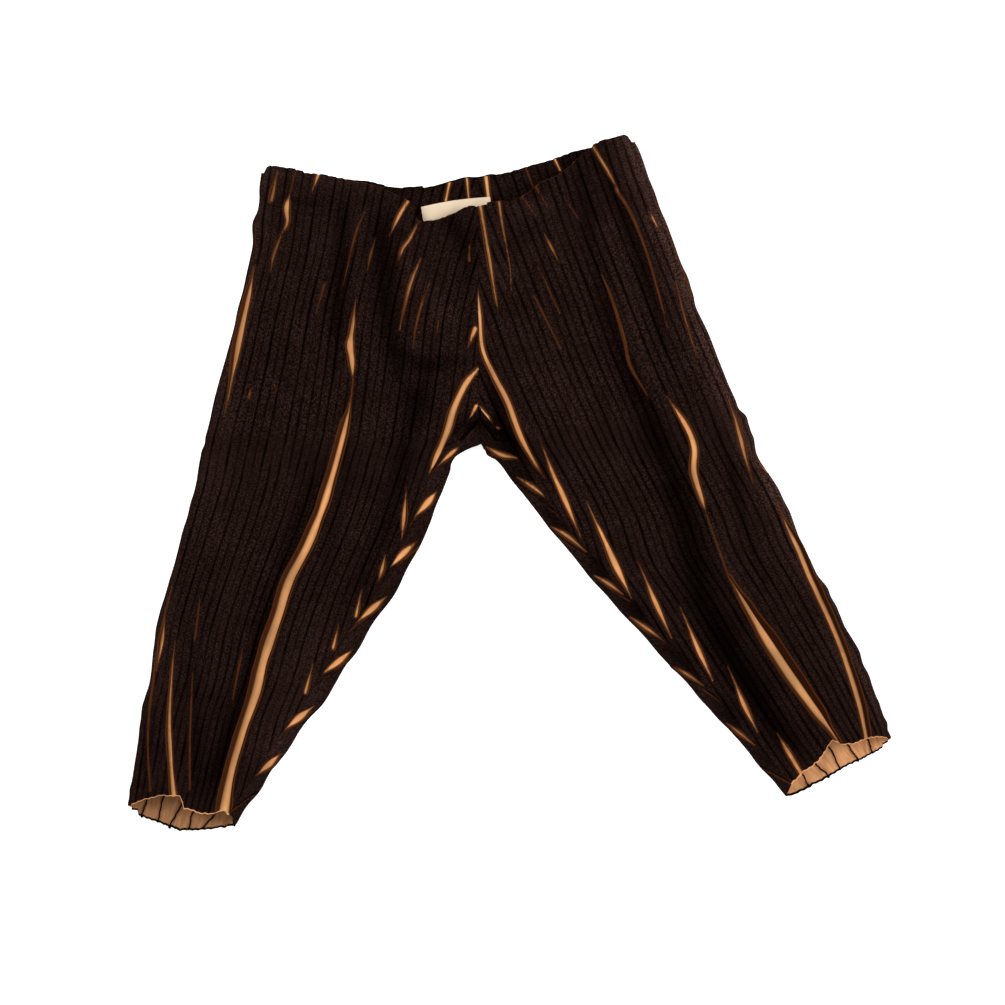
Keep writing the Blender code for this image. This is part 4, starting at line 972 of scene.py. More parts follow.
def jagged(r, row, pleat):
    """The raw hem's small teeth and the waist's small steps, as stations added near those edges."""
    half_pleat = pleat * 2 % 1
    teeth = HEM_JAG * (np.abs(half_pleat - 0.5) * 2 - 0.5 + 0.5 * uneven(2.0, pleat * 5))
    steps = WAIST_JAG * (uneven(7.0, np.floor(pleat * 2) * 1.3) - 0.4 * np.exp(-(half_pleat * 4)**2))
    at_hem, at_waist = smooth_step(HEM - JAG_REACH, HEM, row), smooth_step(JAG_REACH, 0, row)
    return r + teeth / HEM_STEP * at_hem - steps / WAIST_STEP * at_waist


def along_leg(r):
    """Rough length down the leg in millimetres, for textures and unevenness."""
    return r * STATION_LENGTH


def bumped(wave, bumps, station):
    """A wave along an edge with the bumps of a table added."""
    for place, half, bulge in bumps:
        wave = wave + bulge * np.exp(-((station - place) / half)**2)
    return wave


def front_end(leg, r):
    """How far across a front panel reaches, to the centre seam or the inseam."""
    return leg.width(r) - leg.wrap(r) - SEAM_GAP / 2


def front_grid(leg):
    """Stations, places and rows of a front panel's points, and their numbers as a grid."""
    pleats = np.array([leg.first_pleat + k + part for k in range(-1, MOST_PLEATS) for part in PLEAT_PARTS])
    row = in_rows(len(pleats))
    line = np.broadcast_to(pleats, row.shape)
    share = np.clip(leg.pleat_place(row, line) / leg.width(row), 0, 1)
    r = jagged(row + leg.edge_shift(row, share, "front"), row, line)
    across = leg.pleat_place(r, line)
    side_end = edge_radius(row) * (1 - math.cos(math.radians(SIDE_ANGLES[-1])))
    kept = (across < front_end(leg, r) - MIN_CELL) & (across > side_end + MIN_CELL)
    # The rounded side
    row_side = in_rows(len(SIDE_ANGLES))
    r_side = row_side + leg.edge_shift(row_side, np.zeros_like(row_side), "front")
    s_side = angle_place(r_side, np.array(SIDE_ANGLES, float))
    # The edge at the centre seam and the inseam
    row_edge = in_rows(1)
    r_edge = row_edge + leg.edge_shift(row_edge, front_end(leg, row_edge) / leg.width(row_edge), "front")
    keep = np.hstack([np.ones_like(row_side, bool), kept, np.ones_like(row_edge, bool)])
    s = np.hstack([s_side, plan_place(r, across), front_end(leg, r_edge)])[keep]
    r = np.hstack([r_side, r, r_edge])[keep]
    numbers = numbered(keep)
    for k in range(len(SIDE_ANGLES), numbers.shape[1] - 1):
        before = (numbers[:, k] < 0) & (pleats[k - len(SIDE_ANGLES)] < leg.first_pleat + 1)
        numbers[before, k] = numbers[before, k - 1]
    numbers = np.where(numbers < 0, numbers[:, -1:], numbers)
    return r, s, in_rows(keep.shape[1])[keep], numbers


def on_side(leg, r, s):
    """Pleat count at any place of the section, carried on round the side edge."""
    radius = edge_radius(r)
    return np.where(s >= radius, leg.pleat_at(r, s),
                    leg.pleat_at(r, radius) + (s - radius) / leg.pleat_width(r, radius))


def side_wave(leg, r, s, rows):
    """How far the side edge stands out, fading on to the top."""
    wave = SIDE_WAVE * uneven(8.0, along_leg(r) / 14) * smooth_step(0.6, 1.6, rows)
    wave = wave + SIDE_SCALLOPS[leg.name] * uneven(12.0, along_leg(r) / 6) * smooth_step(1.2, 2.2, rows)
    return bumped(wave, SIDE_BUMPS[leg.name], rows) * np.exp(-(s / (2 * edge_radius(r)))**2)


def front_panel(leg):
    r, s, rows, numbers = front_grid(leg)
    point, normal = section_point(leg, r, s), section_normal(leg, r, s)
    gap, rim, tone, lean = opening_fields(point[:, 0], point[:, 1], FRONT_OPENINGS[leg.name])
    pleat = on_side(leg, r, s)
    relief, groove = pleat_relief(pleat, leg.first_pleat, leg.pleat_width(r, s), along_leg(r), gap, s)
    # Pleats flatten towards the centre seam, the inseam and the side seam.
    relief = relief * np.clip((leg.width(r) - leg.wrap(r) - s) / SEAM_FLAT, 0, 1)**0.5
    relief = relief * np.clip((s - angle_place(r, SIDE_SEAM_ANGLE)) / SEAM_FLAT, 0, 1)
    wave = side_wave(leg, r, s, rows)
    outer = point + normal * (relief + wave)[:, None]
    inner = point + normal * (wave - CLOTH - np.clip(-relief, 0, None))[:, None]
    # A tan line along the hem and a fainter orange one along the waist
    hem_line = HEM_LINE - 2 * (HEM - rows) * HEM_STEP
    at_hem = hem_line > gap
    tone, lean = np.where(at_hem, HEM_LINE_TONE, tone), np.where(at_hem, HEM_LINE_LEAN, lean)
    gap = np.maximum(gap, hem_line)
    rim = np.maximum(rim, WAIST_LINE + 0.6 * uneven(11.0, s / 14) - rows * WAIST_STEP)
    tone = np.where((rows < 0.1) & (gap < -1), WAIST_LINE_TONE, tone)
    # Painted shade and light: the bends' shade, and painted light along the side edge
    light = bend_fields(point[:, 0], point[:, 1])[1]
    low_share = smooth_step(*KNEE, rows)
    edge_gain = EDGE_LIGHT[leg.name][0] * (1 - low_share) + EDGE_LIGHT[leg.name][1] * low_share
    light = light * (1 + edge_gain * np.exp(-(np.maximum(s, 0) / EDGE_LIGHT_REACH)**2))
    fields = dict(zip(FIELDS, (gap, rim, tone, lean, groove, light)))
    uv = np.stack([pleat, along_leg(r) / PITCH], -1)
    return closed_wall(f"front_panel_{leg.name}_cloth", outer, inner, grid_cells(numbers), rows, fields, uv,
                       (PLEATED, INSIDE, RAW_EDGE), INSIDE_ROWS)


fronts = [front_panel(leg) for leg in (LEFT, RIGHT)]
for thing in fronts:
    print(thing.name, len(thing.data.polygons), "faces")

# %% [markdown]
# ## The back panels
# A back panel lies on the floor, turns up round the side to its seam, and below the crotch comes round the
# leg's inner edge on to the top, where its pleats run slantwise. On the floor its pleats are pressed in, so
# that the underside rests flat.

# %% Back panels
UNDER_ANGLES = [-56, -68, -79, -90]
RING_ANGLES = [-90, -76, -62, -48, -34, -20, -10, 0, 10, 20, 32, 44, 56, 68, 79, 90]
RING_LOWER = RING_ANGLES.index(0) + 1  # how many of them belong to the underside
WRAP_SHARES = [0.12, 0.24, 0.37, 0.5, 0.62, 0.74, 0.84, 0.92, 1.0]
UNDER_PARTS = [0, 0.08, 0.18, 0.34, 0.5, 0.66, 0.82, 0.92]
UNDER_RISE = 0.7
UNDER_LIFT = 0.05  # the least air under the cloth on the floor
OFF_FLOOR = 0.5
ON_TOP = 0.6  # the kind from which a point shows on top
BRAID_RISE = 3.6
BRAID_CREST = 0.45  # the share of that rise that stands above the plain surface
BRAID_HALF = 7.2
BRAID_STEP = 45.0  # rough millimetres from one slanting groove to the next
BRAID_START = (CROTCH, CROTCH + 0.8)  # stations over which the slanting pleats grow to their full height
# Painted shade across the right braid's plaits, and, below zero, painted light on the left braid's
BRAID_SHADE = {"left": -0.15, "right": 0.45}
BRAID_LINE = (2.2, 1.2)  # place and half width, beside each slanting groove, of a burnt-orange line
INNER_EDGE = {"left": (0.4, 1.0), "right": (-0.5, 0.5)}  # where its outline runs: mean, and how far it waves
# Where the inner edge swells or draws in, in the same way as the side
INNER_BUMPS = {
    "left": [(5.45, 0.4, -7.5), (6.5, 0.35, 2.8), (7.85, 0.25, 1.4), (10.65, 0.2, -2), (12.15, 0.35, -1.3)],
    "right": [(5.7, 0.4, 2.6), (6.9, 0.35, -1.5), (7.75, 0.35, -1.8), (8.45, 0.25, -1.2), (11.2, 0.4, 1.6),
              (12.25, 0.25, 1.6), (13.4, 0.4, -3), (14.9, 0.3, 1.2)],
}
# Painted shade on the left hem's inside and painted light on the right hem's
HEM_INSIDE_LIGHT = {"left": 0.58, "right": 1.18}


def edge_inset(radius, degrees):
    """How far inside the outline an angle of a rounded edge lies."""
    return radius * (1 - math.cos(math.radians(degrees)))


class Patches:
    """Grids of points, one after another.

    A point's kind is 1 where it shows on top and 0 on the underside, and between them at the inner edge.
    """

    def __init__(self, leg):
        self.leg = leg
        self.columns = {key: [] for key in "point normal row place pleat kind inset".split()}

    def add(self, r, s, row, pleat, kind=0.0, inset=0.0, inner=False):
        """Add one grid and give its points' numbers, in the grid's own shape."""
        first = sum(len(patch) for patch in self.columns["place"])
        self.columns["point"].append(section_point(self.leg, r, s, inner).reshape(-1, 3))
        self.columns["normal"].append(section_normal(self.leg, r, s, inner).reshape(-1, 3))
        for key, value in {"row": row, "place": r, "pleat": pleat, "kind": kind, "inset": inset}.items():
            self.columns[key].append(np.broadcast_to(value, r.shape).ravel())
        return first + np.arange(r.size).reshape(r.shape)

    def joined(self):
        return [np.concatenate(column) for column in self.columns.values()]


def floor_grid(leg):
    """Stations, places and kept places of the floor's points, as far as the ring's first column."""
    pleats = np.array([leg.first_pleat + k + part for k in range(MOST_PLEATS) for part in UNDER_PARTS])
    row = in_rows(len(pleats))
    line = np.broadcast_to(pleats, row.shape)
    width, across = leg.width(row), leg.pleat_place(row, line)
    kept = (across < width - edge_radius(row) - MIN_CELL) & (across > edge_radius(row) + MIN_CELL)
    share = np.clip(across / width, 0, 1)
    r = jagged(row + leg.edge_shift(row, share, "back"), row, line)
    row_side = in_rows(1 + len(UNDER_ANGLES))
    r_side = row_side + leg.edge_shift(row_side, np.zeros_like(row_side), "back")
    s_side = angle_place(r_side, np.array([SIDE_SEAM_ANGLE, *UNDER_ANGLES], float))
    s_side[:, 0] -= SEAM_GAP
    return (np.hstack([r_side, r]), np.hstack([s_side, floor_place(r, leg.pleat_place(r, line))]),
            np.hstack([np.ones_like(row_side, bool), kept]))


def ring_places(leg, rows):
    """Stations, places and insets round the inner edge and along the strip on top, below the crotch."""
    row = rows[:, None]
    wrap, width, radius = leg.wrap(row) - SEAM_GAP / 2, leg.width(row), edge_radius(row)
    columns = []
    for degrees in RING_ANGLES:
        inset = edge_inset(radius, degrees)
        r = row + leg.edge_shift(row, 1 - inset / width, "front" if degrees > 0 else "back")
        columns.append((r, angle_place(r, degrees), inset / wrap))
    for share in WRAP_SHARES:
        inset = radius + (wrap - radius) * share
        r = row + leg.edge_shift(row, 1 - inset / width, "front")
        s = edge_radius(r) + (leg.wrap(r) - SEAM_GAP / 2 - edge_radius(r)) * share
        columns.append((r, s, inset / wrap))
    return [np.hstack(column) for column in zip(*columns)]


def back_points(leg):
    """A back panel's points, grid by grid, and its cells."""
    points, below = Patches(leg), ROWS >= CROTCH
    # Floor
    r, s, keep = floor_grid(leg)
    numbers, r, s = numbered(keep), r[keep], s[keep]
    across = edge_radius(r) * (2 - math.pi) - s
    pleat = np.where(across > 0, leg.pleat_at(r, np.maximum(across, 0)), 0)
    points.add(r, s, in_rows(keep.shape[1])[keep], pleat)
    for k in range(len(UNDER_ANGLES) + 1, numbers.shape[1]):
        skipped = numbers[:, k] < 0
        numbers[skipped, k] = numbers[skipped, k - 1]
    # Flat end above the crotch, under the centre seam
    row = ROWS[~below][:, None]
    inset = [edge_inset(edge_radius(row), degrees) + SEAM_GAP / 2 for degrees in RING_ANGLES[:RING_LOWER]]
    inset = np.hstack(inset)
    row = np.broadcast_to(row, inset.shape)
    r = row + leg.edge_shift(row, 1 - inset / leg.width(row), "back")
    across = leg.width(r) - inset
    flat_end = points.add(r, floor_place(r, across), row, leg.pleat_at(r, across))
    # Ring and strip below the crotch
    r, s, inset = ring_places(leg, ROWS[below])
    kind = smooth_step(-50, 0, np.array(RING_ANGLES + [90] * len(WRAP_SHARES), float))
    ring = points.add(r, s, ROWS[below][:, None], leg.pleat_at(r, leg.width(r)), kind, inset, inner=True)
    # The strip's point above the crotch, beside the centre seam
    row = ROWS[(ROWS > INSEAM_TOP) & ~below][:, None]
    radius, whole = edge_radius(row), leg.columns["wrap"][CROTCH]
    strip = [edge_inset(radius, degrees) for degrees in RING_ANGLES[RING_LOWER - 1:]]
    strip += [radius + (whole - radius) * share for share in WRAP_SHARES]
    inset = SEAM_GAP / 2 + np.hstack(strip) / whole * (leg.wrap(row) - SEAM_GAP)
    r = np.broadcast_to(row, inset.shape)
    across = leg.width(r) - inset
    flap = points.add(r, across, r, leg.pleat_at(r, across), 1.0, inset / whole)
    under = np.hstack([numbers, np.vstack([flat_end, ring[:, :RING_LOWER]])])
    over = np.vstack([flap, ring[:, RING_LOWER - 1:]])
    return points, grid_cells(under) + grid_cells(over)


def back_panel(leg):
    points, cells = back_points(leg)
    point, normal, rows, place, pleat, kind, inset = points.joined()
    on_top, braided = kind > ON_TOP, kind > 0
    above, under = (opening_fields(point[:, 0], point[:, 1], table[leg.name])
                    for table in (BACK_OPENINGS, FRONT_OPENINGS))
    gap, rim, tone, lean = (np.where(on_top, one, other) for one, other in zip(above, under))
    edge = braided & (kind < ON_TOP) | (point[:, 2] > OFF_FLOOR) & ~on_top
    gap, rim = (np.where(edge, OUTSIDE, values) for values in (gap, rim))
    # Pleats pressed into the floor
    width = leg.pleat_width(place, np.zeros_like(place))
    pressed, groove = pleat_relief(pleat, leg.first_pleat, width, along_leg(place), gap)
    pressed = np.minimum((pressed - PLEAT_RISE) / PLEAT_RISE * UNDER_RISE, 0) - UNDER_LIFT
    # Slanting pleats round the inner edge
    phase = np.interp(place, BRAID_STATIONS, range(len(BRAID_STATIONS))) - BRAID_LEAN * inset
    beside = (phase - np.round(phase)) * BRAID_STEP
    away, turn, grown = np.abs(beside), np.cos(2 * math.pi * phase), smooth_step(*BRAID_START, place)
    braid = BRAID_RISE * (BRAID_CREST - np.exp(-(away / BRAID_HALF)**2)) * (0.3 + 0.7 * grown)
    outline = bumped(INNER_EDGE[leg.name][0] + INNER_EDGE[leg.name][1] * turn, INNER_BUMPS[leg.name], place)
    outline_share = smooth_step(0.35, 0.05, inset) * grown
    braid = braid * (1 - outline_share) + outline * outline_share
    near, deep = smooth_step(-4, -1, gap), smooth_step(*INTO_OPENING, gap)
    braid = braid * (1 - near) + near * (PLEAT_RISE + LIP) - deep * (TROUGH + PLEAT_RISE)
    relief = np.where(braided, kind * braid * np.clip((1 - inset) * 5, 0, 1)**0.5, pressed)
    relief = np.where(edge & ~braided, 0, relief)[:, None]
    outer = point + normal * relief
    inner = point - normal * (CLOTH + np.clip(-relief, 0, None))
    # Their orange lines, their painted shade or light, and the bends' painted shade on top
    line = BRAID_LINE[1] * (0.3 + 0.7 * uneven(9.0, place * 3)) - np.abs(beside * 0.7 - BRAID_LINE[0])
    tone = np.where(braided & (gap < -1.5), 0, tone)
    rim = np.where(braided, np.maximum(rim, line), rim)
    groove = np.where(braided, away * 0.6 + np.maximum(gap + 6, 0), groove)
    shade = BRAID_SHADE[leg.name] * kind * (0.5 - 0.5 * turn) * smooth_step(0.15, 0.7, inset)
    light = np.where(braided, 1 - shade, HEM_INSIDE_LIGHT[leg.name])
    light = light * np.where(on_top, bend_fields(point[:, 0], point[:, 1])[1], 1)
    fields = dict(zip(FIELDS, (gap, rim, tone, lean, groove, light)))
    uv = np.stack([np.where(braided, phase * 2.6, pleat),
                   np.where(braided, inset * 1.2 + phase * 2, along_leg(place) / PITCH)], -1)
    return closed_wall(f"back_panel_{leg.name}_cloth", outer, inner, cells, rows, fields, uv,
                       (PLEATED, INSIDE, PLEATED), INSIDE_ROWS)


backs = [back_panel(leg) for leg in (LEFT, RIGHT)]
for thing in backs:
    print(thing.name, len(thing.data.polygons), "faces")

# %% [markdown]
# ## Waist facing and label
# The back waist's edge is turned in. Its facing shows above the front's sagging edge, dark with a few open
# pleats, and a bare cream label is sewn to it.

# %% Facing and label
FACING = 0.9
FACING_DEPTH = 40.0
FACING_SHARE = {"left": 0.33, "right": 0.28}
FACING_INSET = 1.0
FACING_RELIEF = 0.5  # the share of the pleats' height that it keeps
FACING_COLUMNS, FACING_ROWS = 150, 30
FACING_LOW = CLOTH + 2 * SEAM_GAP
LABEL = 0.6
LABEL_LEFT = (-93.0, 290.0)
LABEL_RIGHT = (-20.5, 300.5)
LABEL_DEPTH = 30.0
LABEL_BOW = 1.8
LABEL_RIPPLE = 1.1
LABEL_RIPPLES = 3.5
LABEL_COLUMNS, LABEL_ROWS = 90, 24
LABEL_LOW = FACING_LOW + FACING + 0.9
ANY_ROW = 5.0  # a row without raw edges
PLAIN_FIELDS = dict(zip(FIELDS, (OUTSIDE, OUTSIDE, 1.0, 0.0, 20.0, 1.0)))


def sheet(name, rows, columns, outer, inner, fields, uv, material):
    """A plain strip of cloth, of one material all over."""
    numbers = np.arange(rows * columns).reshape(rows, columns)
    return closed_wall(name, outer, inner, grid_cells(numbers), np.full(rows * columns, ANY_ROW), fields, uv,
                       (material, material, material), HEM)


def waist_facing():
    down = np.linspace(FACING_INSET, FACING_DEPTH, FACING_ROWS)[:, None]
    halves = []
    for leg in (LEFT, RIGHT):
        share = np.linspace(FACING_SHARE[leg.name], 1, FACING_COLUMNS)
        share = np.broadcast_to(share, (FACING_ROWS, FACING_COLUMNS))
        r = leg.edge_shift(np.zeros_like(share), share, "back") + down / leg.step_length(0, 1, share)
        across = share * leg.width(r)
        half = np.stack([*leg.plan(r, across), leg.pleat_at(r, across) * leg.turn])
        # The right half runs the other way, and the left one has the centre column.
        halves.append(half if leg is LEFT else half[:, :, -2::-1])
    x, y, pleat = np.concatenate(halves, -1).reshape(3, -1)
    gap, rim, tone, lean = opening_fields(x, y, FACING_OPENINGS)
    relief, groove = pleat_relief(pleat, LEFT.first_pleat, PITCH, y, gap)
    low = np.full_like(x, FACING_LOW)
    outer = np.stack([x, y, low + FACING + FACING_RELIEF * np.clip(relief, -FACING, 2)], -1)
    fields = dict(zip(FIELDS, (gap, rim, tone, lean, groove, np.ones_like(x))))
    return sheet("waist_facing_cloth", FACING_ROWS, 2 * FACING_COLUMNS - 1, outer, np.stack([x, y, low], -1),
                 fields, np.stack([pleat, y / PITCH], -1), SHADED_FACING_CLOTH)


def waist_label():
    left, right = np.array(LABEL_LEFT), np.array(LABEL_RIGHT)
    along = (right - left) / np.linalg.norm(right - left)
    down = np.array([along[1], -along[0]])
    share, depth = np.meshgrid(np.linspace(0, 1, LABEL_COLUMNS), np.linspace(0, LABEL_DEPTH, LABEL_ROWS))
    lower = depth - LABEL_BOW * np.sin(math.pi * share)
    place = left + (right - left) * share[..., None] + down * lower[..., None]
    ripple = LABEL_RIPPLE * (1 - np.cos(2 * math.pi * LABEL_RIPPLES * (share + 0.04 * np.sin(depth / 6)))) / 2
    ripple = ripple * (0.4 + 0.6 * smooth_step(0, 10, depth))
    outer, inner = (np.dstack([place, LABEL_LOW + ripple + thick]).reshape(-1, 3) for thick in (LABEL, 0))
    fields = {key: np.full(len(outer), value) for key, value in PLAIN_FIELDS.items()}
    return sheet("waist_label_cloth", LABEL_ROWS, LABEL_COLUMNS, outer, inner, fields,
                 np.stack([share.ravel(), depth.ravel() / PITCH], -1), LABEL_CLOTH)


facing, label = waist_facing(), waist_label()
print(facing.name, len(facing.data.polygons), "faces;", label.name, len(label.data.polygons), "faces")

# %% [markdown]
# ## Threads and stitches
# One small node group turns a drawn line into thread: it wavers a little, has a round section and may end
# in knots. Another lays short stitches along a line. The loose black threads cross the inside of each hem
# at every pleat; the stitches hold the casing of the waist.

# %% Node groups for threads and stitches


def wire(group, *links):
    """Make links, each from a node's output to another node's input."""
    for giver, output, taker, taken in links:
        group.links.new(giver.outputs[output], taker.inputs[taken])


def new_nodes(group, family, kinds):
    return [group.nodes.new(family + kind) for kind in kinds.split()]


def new_group(name, sizes):
    """A group that starts with points spaced along drawn edges, and ends by painting what is made of them."""
    group = bpy.data.node_groups.new(name, "GeometryNodeTree")
    group.interface.new_socket("Geometry", in_out="INPUT", socket_type="NodeSocketGeometry")
    for key, value in sizes.items():
        group.interface.new_socket(key, in_out="INPUT", socket_type="NodeSocketFloat").default_value = value
    group.interface.new_socket("Geometry", in_out="OUTPUT", socket_type="NodeSocketGeometry")
    start, end = new_nodes(group, "NodeGroup", "Input Output")
    curve, steps = new_nodes(group, "GeometryNode", "MeshToCurve ResampleCurve")
    real, paint = new_nodes(group, "GeometryNode", "RealizeInstances SetMaterial")
    steps.mode = "LENGTH"
    paint.inputs["Material"].default_value = THREAD_DARK
    wire(group, (start, "Geometry", curve, "Mesh"), (curve, "Curve", steps, "Curve"),
         (start, "Step", steps, "Length"), (real, "Geometry", paint, "Geometry"),
         (paint, "Geometry", end, "Geometry"))
    return group, start, steps, real


def thread_group():
    sizes = {"Radius": 0.0003, "Knot": 0.0006, "Waver": 0.0004, "Step": 0.001}
    group, start, steps, real = new_group("thread", sizes)
    noise, centre, scale = new_nodes(group, "ShaderNode", "TexNoise VectorMath VectorMath")
    noise.inputs["Scale"].default_value = 180.0
    centre.operation, scale.operation = "SUBTRACT", "SCALE"
    centre.inputs[1].default_value = (0.5, 0.5, 0.5)
    move, profile, tube = new_nodes(group, "GeometryNode", "SetPosition CurvePrimitiveCircle CurveToMesh")
    profile.inputs["Resolution"].default_value = 6
    tube.inputs["Fill Caps"].default_value = True
    tips, ball = new_nodes(group, "GeometryNode", "CurveEndpointSelection MeshIcoSphere")
    ball.inputs["Subdivisions"].default_value = 2
    knots, join = new_nodes(group, "GeometryNode", "InstanceOnPoints JoinGeometry")
    wire(group, (noise, "Color", centre, 0), (centre, "Vector", scale, 0), (start, "Waver", scale, "Scale"),
         (steps, "Curve", move, "Geometry"), (scale, "Vector", move, "Offset"),
         (move, "Geometry", tube, "Curve"), (start, "Radius", profile, "Radius"),
         (profile, "Curve", tube, "Profile Curve"), (move, "Geometry", knots, "Points"),
         (tips, "Selection", knots, "Selection"), (start, "Knot", ball, "Radius"),
         (ball, "Mesh", knots, "Instance"), (tube, "Mesh", join, "Geometry"),
         (knots, "Instances", join, "Geometry"), (join, "Geometry", real, "Geometry"))
    return group


def stitch_group():
    group, start, steps, real = new_group("stitches", {"Radius": 0.00025, "Length": 0.0022, "Step": 0.0032})
    tangent, bar, place = new_nodes(group, "GeometryNode", "InputTangent MeshCylinder InstanceOnPoints")
    turn = group.nodes.new("FunctionNodeAlignRotationToVector")
    turn.axis = "Z"
    bar.inputs["Vertices"].default_value = 6
    wire(group, (steps, "Curve", place, "Points"), (tangent, 0, turn, "Vector"), (turn, 0, place, "Rotation"),
         (start, "Radius", bar, "Radius"), (start, "Length", bar, "Depth"), (bar, "Mesh", place, "Instance"),
         (place, "Instances", real, "Geometry"))
    return group


THREADS, STITCHES = thread_group(), stitch_group()


def drawn(name, lines, group, sizes):
    """The lines, given in millimetres, run through a node group and kept as a plain mesh."""
    points, edges = [], []
    for line in lines:
        first = len(points)
        points += ((np.asarray(line) + SETTLED) * MM).tolist()
        edges += [(first + k, first + k + 1) for k in range(len(line) - 1)]
    mesh = bpy.data.meshes.new(name)
    mesh.from_pydata(points, edges, [])
    thing = placed(name, mesh)
    modifier = thing.modifiers.new(name, "NODES")
    modifier.node_group = group
    for item in group.interface.items_tree:
        if item.in_out == "INPUT" and item.name in sizes:
            modifier[item.identifier] = sizes[item.name]
    made = bpy.data.meshes.new_from_object(thing.evaluated_get(bpy.context.evaluated_depsgraph_get()))
    thing.modifiers.remove(modifier)
    thing.data = made
    bpy.data.meshes.remove(mesh)
    made.shade_smooth()
    return thing


# %% Hem threads and the casing's stitches
THREAD_LIFT = 1.7
THREAD_PLACES = {"left": (16, 33, 51, 69, 88), "right": (22, 41, 60, 78, 98)}  # along the hem, from its side
THREAD_ENDS = (-0.12, -0.03)  # in stations from the front hem and from the back one
THREAD_POINTS = 8
THREAD_BEND = 1.6 * math.pi
THREAD_BOW = (0.9, 0.3)  # the first thread's, and what each next one has more
THREAD_SIZES = {"Radius": 0.0008, "Knot": 0.0016, "Waver": 0.0035}
CASING_SHARES = np.linspace(0.04, 0.985, 120)
STITCH_LIFT = 0.1
STITCH_SIZES = {"Radius": 0.0003, "Length": 0.0024}


def hem_threads(leg):
    """One thread down each pleat of the back hem's inside, where it shows beyond the front hem."""
    lines = []
    at = np.array([float(HEM)])
    for number, across in enumerate(THREAD_PLACES[leg.name]):
        share = across / leg.width(at)
        ends = [(at + leg.edge_shift(at, share, layer))[0] + end
                for layer, end in zip(("front", "back"), THREAD_ENDS)]
        r = np.linspace(*ends, THREAD_POINTS)
        x, y = leg.plan(r, share * leg.width(r))
        bow = THREAD_BOW[0] + THREAD_BOW[1] * number
        bow = np.sin(np.linspace(0, THREAD_BEND, THREAD_POINTS)) * bow * (-1)**number
        lines.append(np.stack([x + bow, y, np.full_like(x, CLOTH + THREAD_LIFT)], -1))
    return lines


def casing_lines(leg):
    """A line across the front, one casing's depth below its edge, broken where a pleat lies open."""
    drop = np.interp(CASING_SHARES, leg.waist["share"], leg.waist["front"])
    r = (drop + CASING_DEPTH) / leg.step_length(0, 1, CASING_SHARES)
    s = CASING_SHARES * leg.width(r)
    point, normal = section_point(leg, r, s), section_normal(leg, r, s)
    gap = opening_fields(point[:, 0], point[:, 1], FRONT_OPENINGS[leg.name])[0]
    relief, _ = pleat_relief(leg.pleat_at(r, s), leg.first_pleat, leg.pleat_width(r, s), along_leg(r), gap)
    line, lines = point + normal * (relief + STITCH_LIFT)[:, None], [[]]
    for place, clear in zip(line, gap < -1):
        if clear:
            lines[-1].append(place)
        elif lines[-1]:
            lines.append([])
    return [part for part in lines if len(part) > 1]


threads = [drawn(f"hem_threads_{leg.name}", hem_threads(leg), THREADS, THREAD_SIZES) for leg in (LEFT, RIGHT)]
casings = [drawn(f"casing_stitches_{leg.name}", casing_lines(leg), STITCHES, STITCH_SIZES)
           for leg in (LEFT, RIGHT)]
for thing in threads + casings:
    print(thing.name, len(thing.data.polygons), "faces")

# %% [markdown]
# ## Which solid each piece stands for
# Every cloth piece takes the place of its solid, which stays for collision. The pieces ride on the root, as
# nothing here moves, and each panel's cut size is listed in the table below.

# %% Frame and the sheets' table
FLOOR_HALF = 3.0
floor_corners = [(x * FLOOR_HALF, y * FLOOR_HALF, 0) for x, y in ((-1, -1), (1, -1), (1, 1), (-1, 1))]
floor_mesh = bpy.data.meshes.new("floor")
floor_mesh.from_pydata(floor_corners, [], [(0, 1, 2, 3)])
floor = placed("floor", floor_mesh)
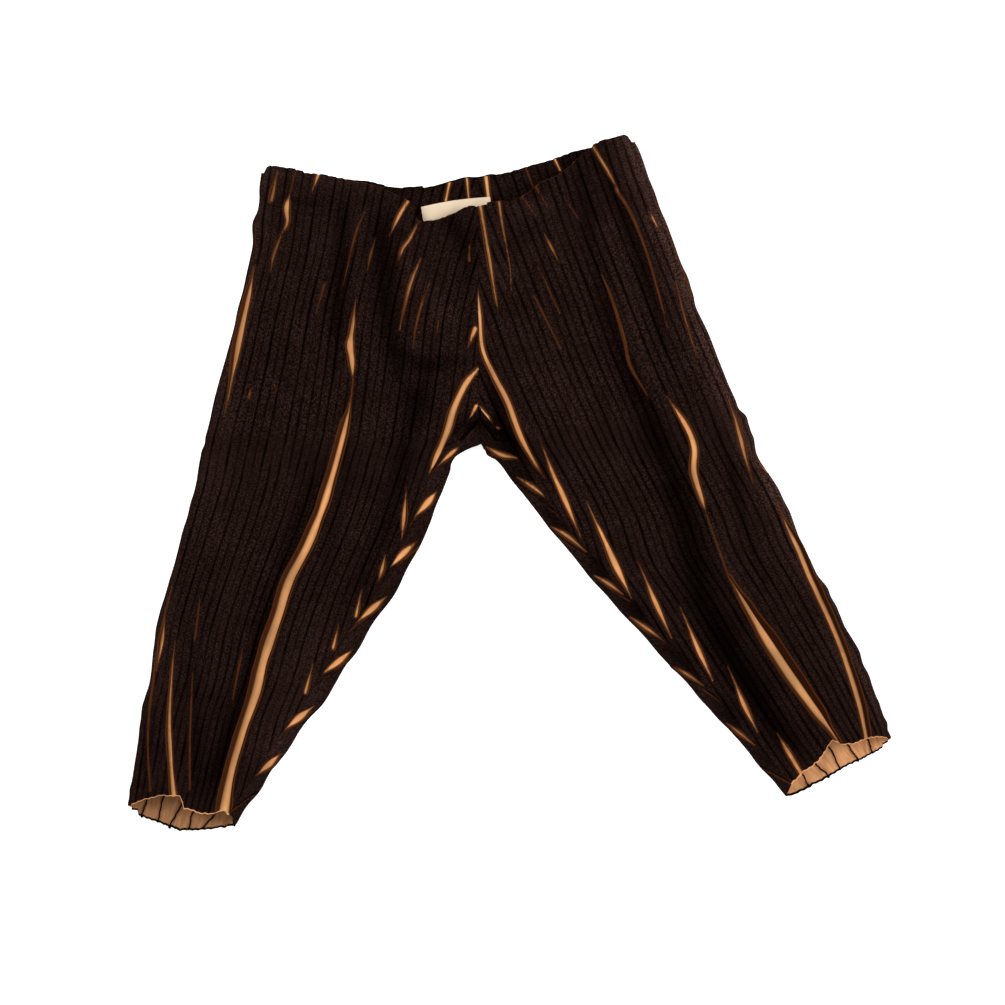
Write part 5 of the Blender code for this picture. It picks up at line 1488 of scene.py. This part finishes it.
# A row is a solid's node with its cloth, the rectangle of its flat cut in metres and the share of that which
# is cloth, what it rests on, and the threads on it.
SHEETS = {
    "front_panel_left": (fronts[0], (0.270, 0.700), 0.66, [backs[0]], [casings[0]]),
    "front_panel_right": (fronts[1], (0.270, 0.740), 0.62, [backs[1]], [casings[1]]),
    "back_panel_left": (backs[0], (0.290, 0.700), 0.72, [floor], [threads[0]]),
    "back_panel_right": (backs[1], (0.290, 0.740), 0.70, [floor], [threads[1]]),
    "waist_facing": (facing, (0.290, 0.039), 1.0, backs, []),
    "waist_label": (label, (0.0733, 0.030), 1.0, [facing], []),
}
for thing in threads + casings:
    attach(thing, "root")
for node, (thing, flat, share, rests_on, sewing) in SHEETS.items():
    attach(thing, "root")
    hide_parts(node)

# %% [markdown]
# ## Floor, light and camera
# The garment lies on a plain white floor under broad soft light, seen from straight above.

# %% Floor, light and camera
PHOTO_SCALE = 1.05 * MM  # metres to one of the photo's pixels, at the garment
PHOTO_SIDE = 1005
PHOTO_CENTRE = (-7.35, -21.0)
CAMERA_DISTANCE = 4.0
FOCUS_HEIGHT = 0.012
SENSOR = 36.0
FLOOR_WHITE = (0.93, 0.93, 0.93)
FLOOR_GLOW = 0.65
SKY_STRENGTH = 0.34
LIGHTS = {  # place, side of the square in metres, power in watts
    "key light": ((-1.5, 1.0, 2.2), 1.4, 46),
    "side light": ((1.9, 0.4, 1.8), 1.2, 38),
    "hem light": ((0.2, -2.2, 2.0), 1.2, 22),
}

recipe = Recipe("white floor")
recipe.feed(recipe.shader.inputs["Emission Color"], (1, 1, 1))
recipe.feed(recipe.shader.inputs["Emission Strength"], FLOOR_GLOW)
floor_mesh.materials.append(recipe.finish(FLOOR_WHITE, CLOTH_ROUGHNESS))

for name, (place, size, power) in LIGHTS.items():
    light = bpy.data.lights.new(name, "AREA")
    light.shape, light.size, light.energy = "SQUARE", size, power
    lamp = placed(name, light)
    lamp.location = place
    lamp.rotation_euler = (-Vector(place)).to_track_quat("-Z", "Y").to_euler()

world = bpy.data.worlds.new("soft sky")
world.use_nodes = True
world.node_tree.nodes["Background"].inputs["Color"].default_value = (1, 1, 1, 1)
world.node_tree.nodes["Background"].inputs["Strength"].default_value = SKY_STRENGTH
bpy.context.scene.world = world
bpy.context.scene.view_settings.view_transform = "Standard"

camera_data = bpy.data.cameras.new("photo camera")
camera_data.sensor_width = SENSOR
camera_data.lens = SENSOR * CAMERA_DISTANCE / (PHOTO_SIDE * PHOTO_SCALE)
camera = placed("photo camera", camera_data)
camera_x, camera_y = ((centre + moved) * MM for centre, moved in zip(PHOTO_CENTRE, SETTLED))
camera.location = (camera_x, camera_y, CAMERA_DISTANCE + FOCUS_HEIGHT)
bpy.context.scene.camera = camera
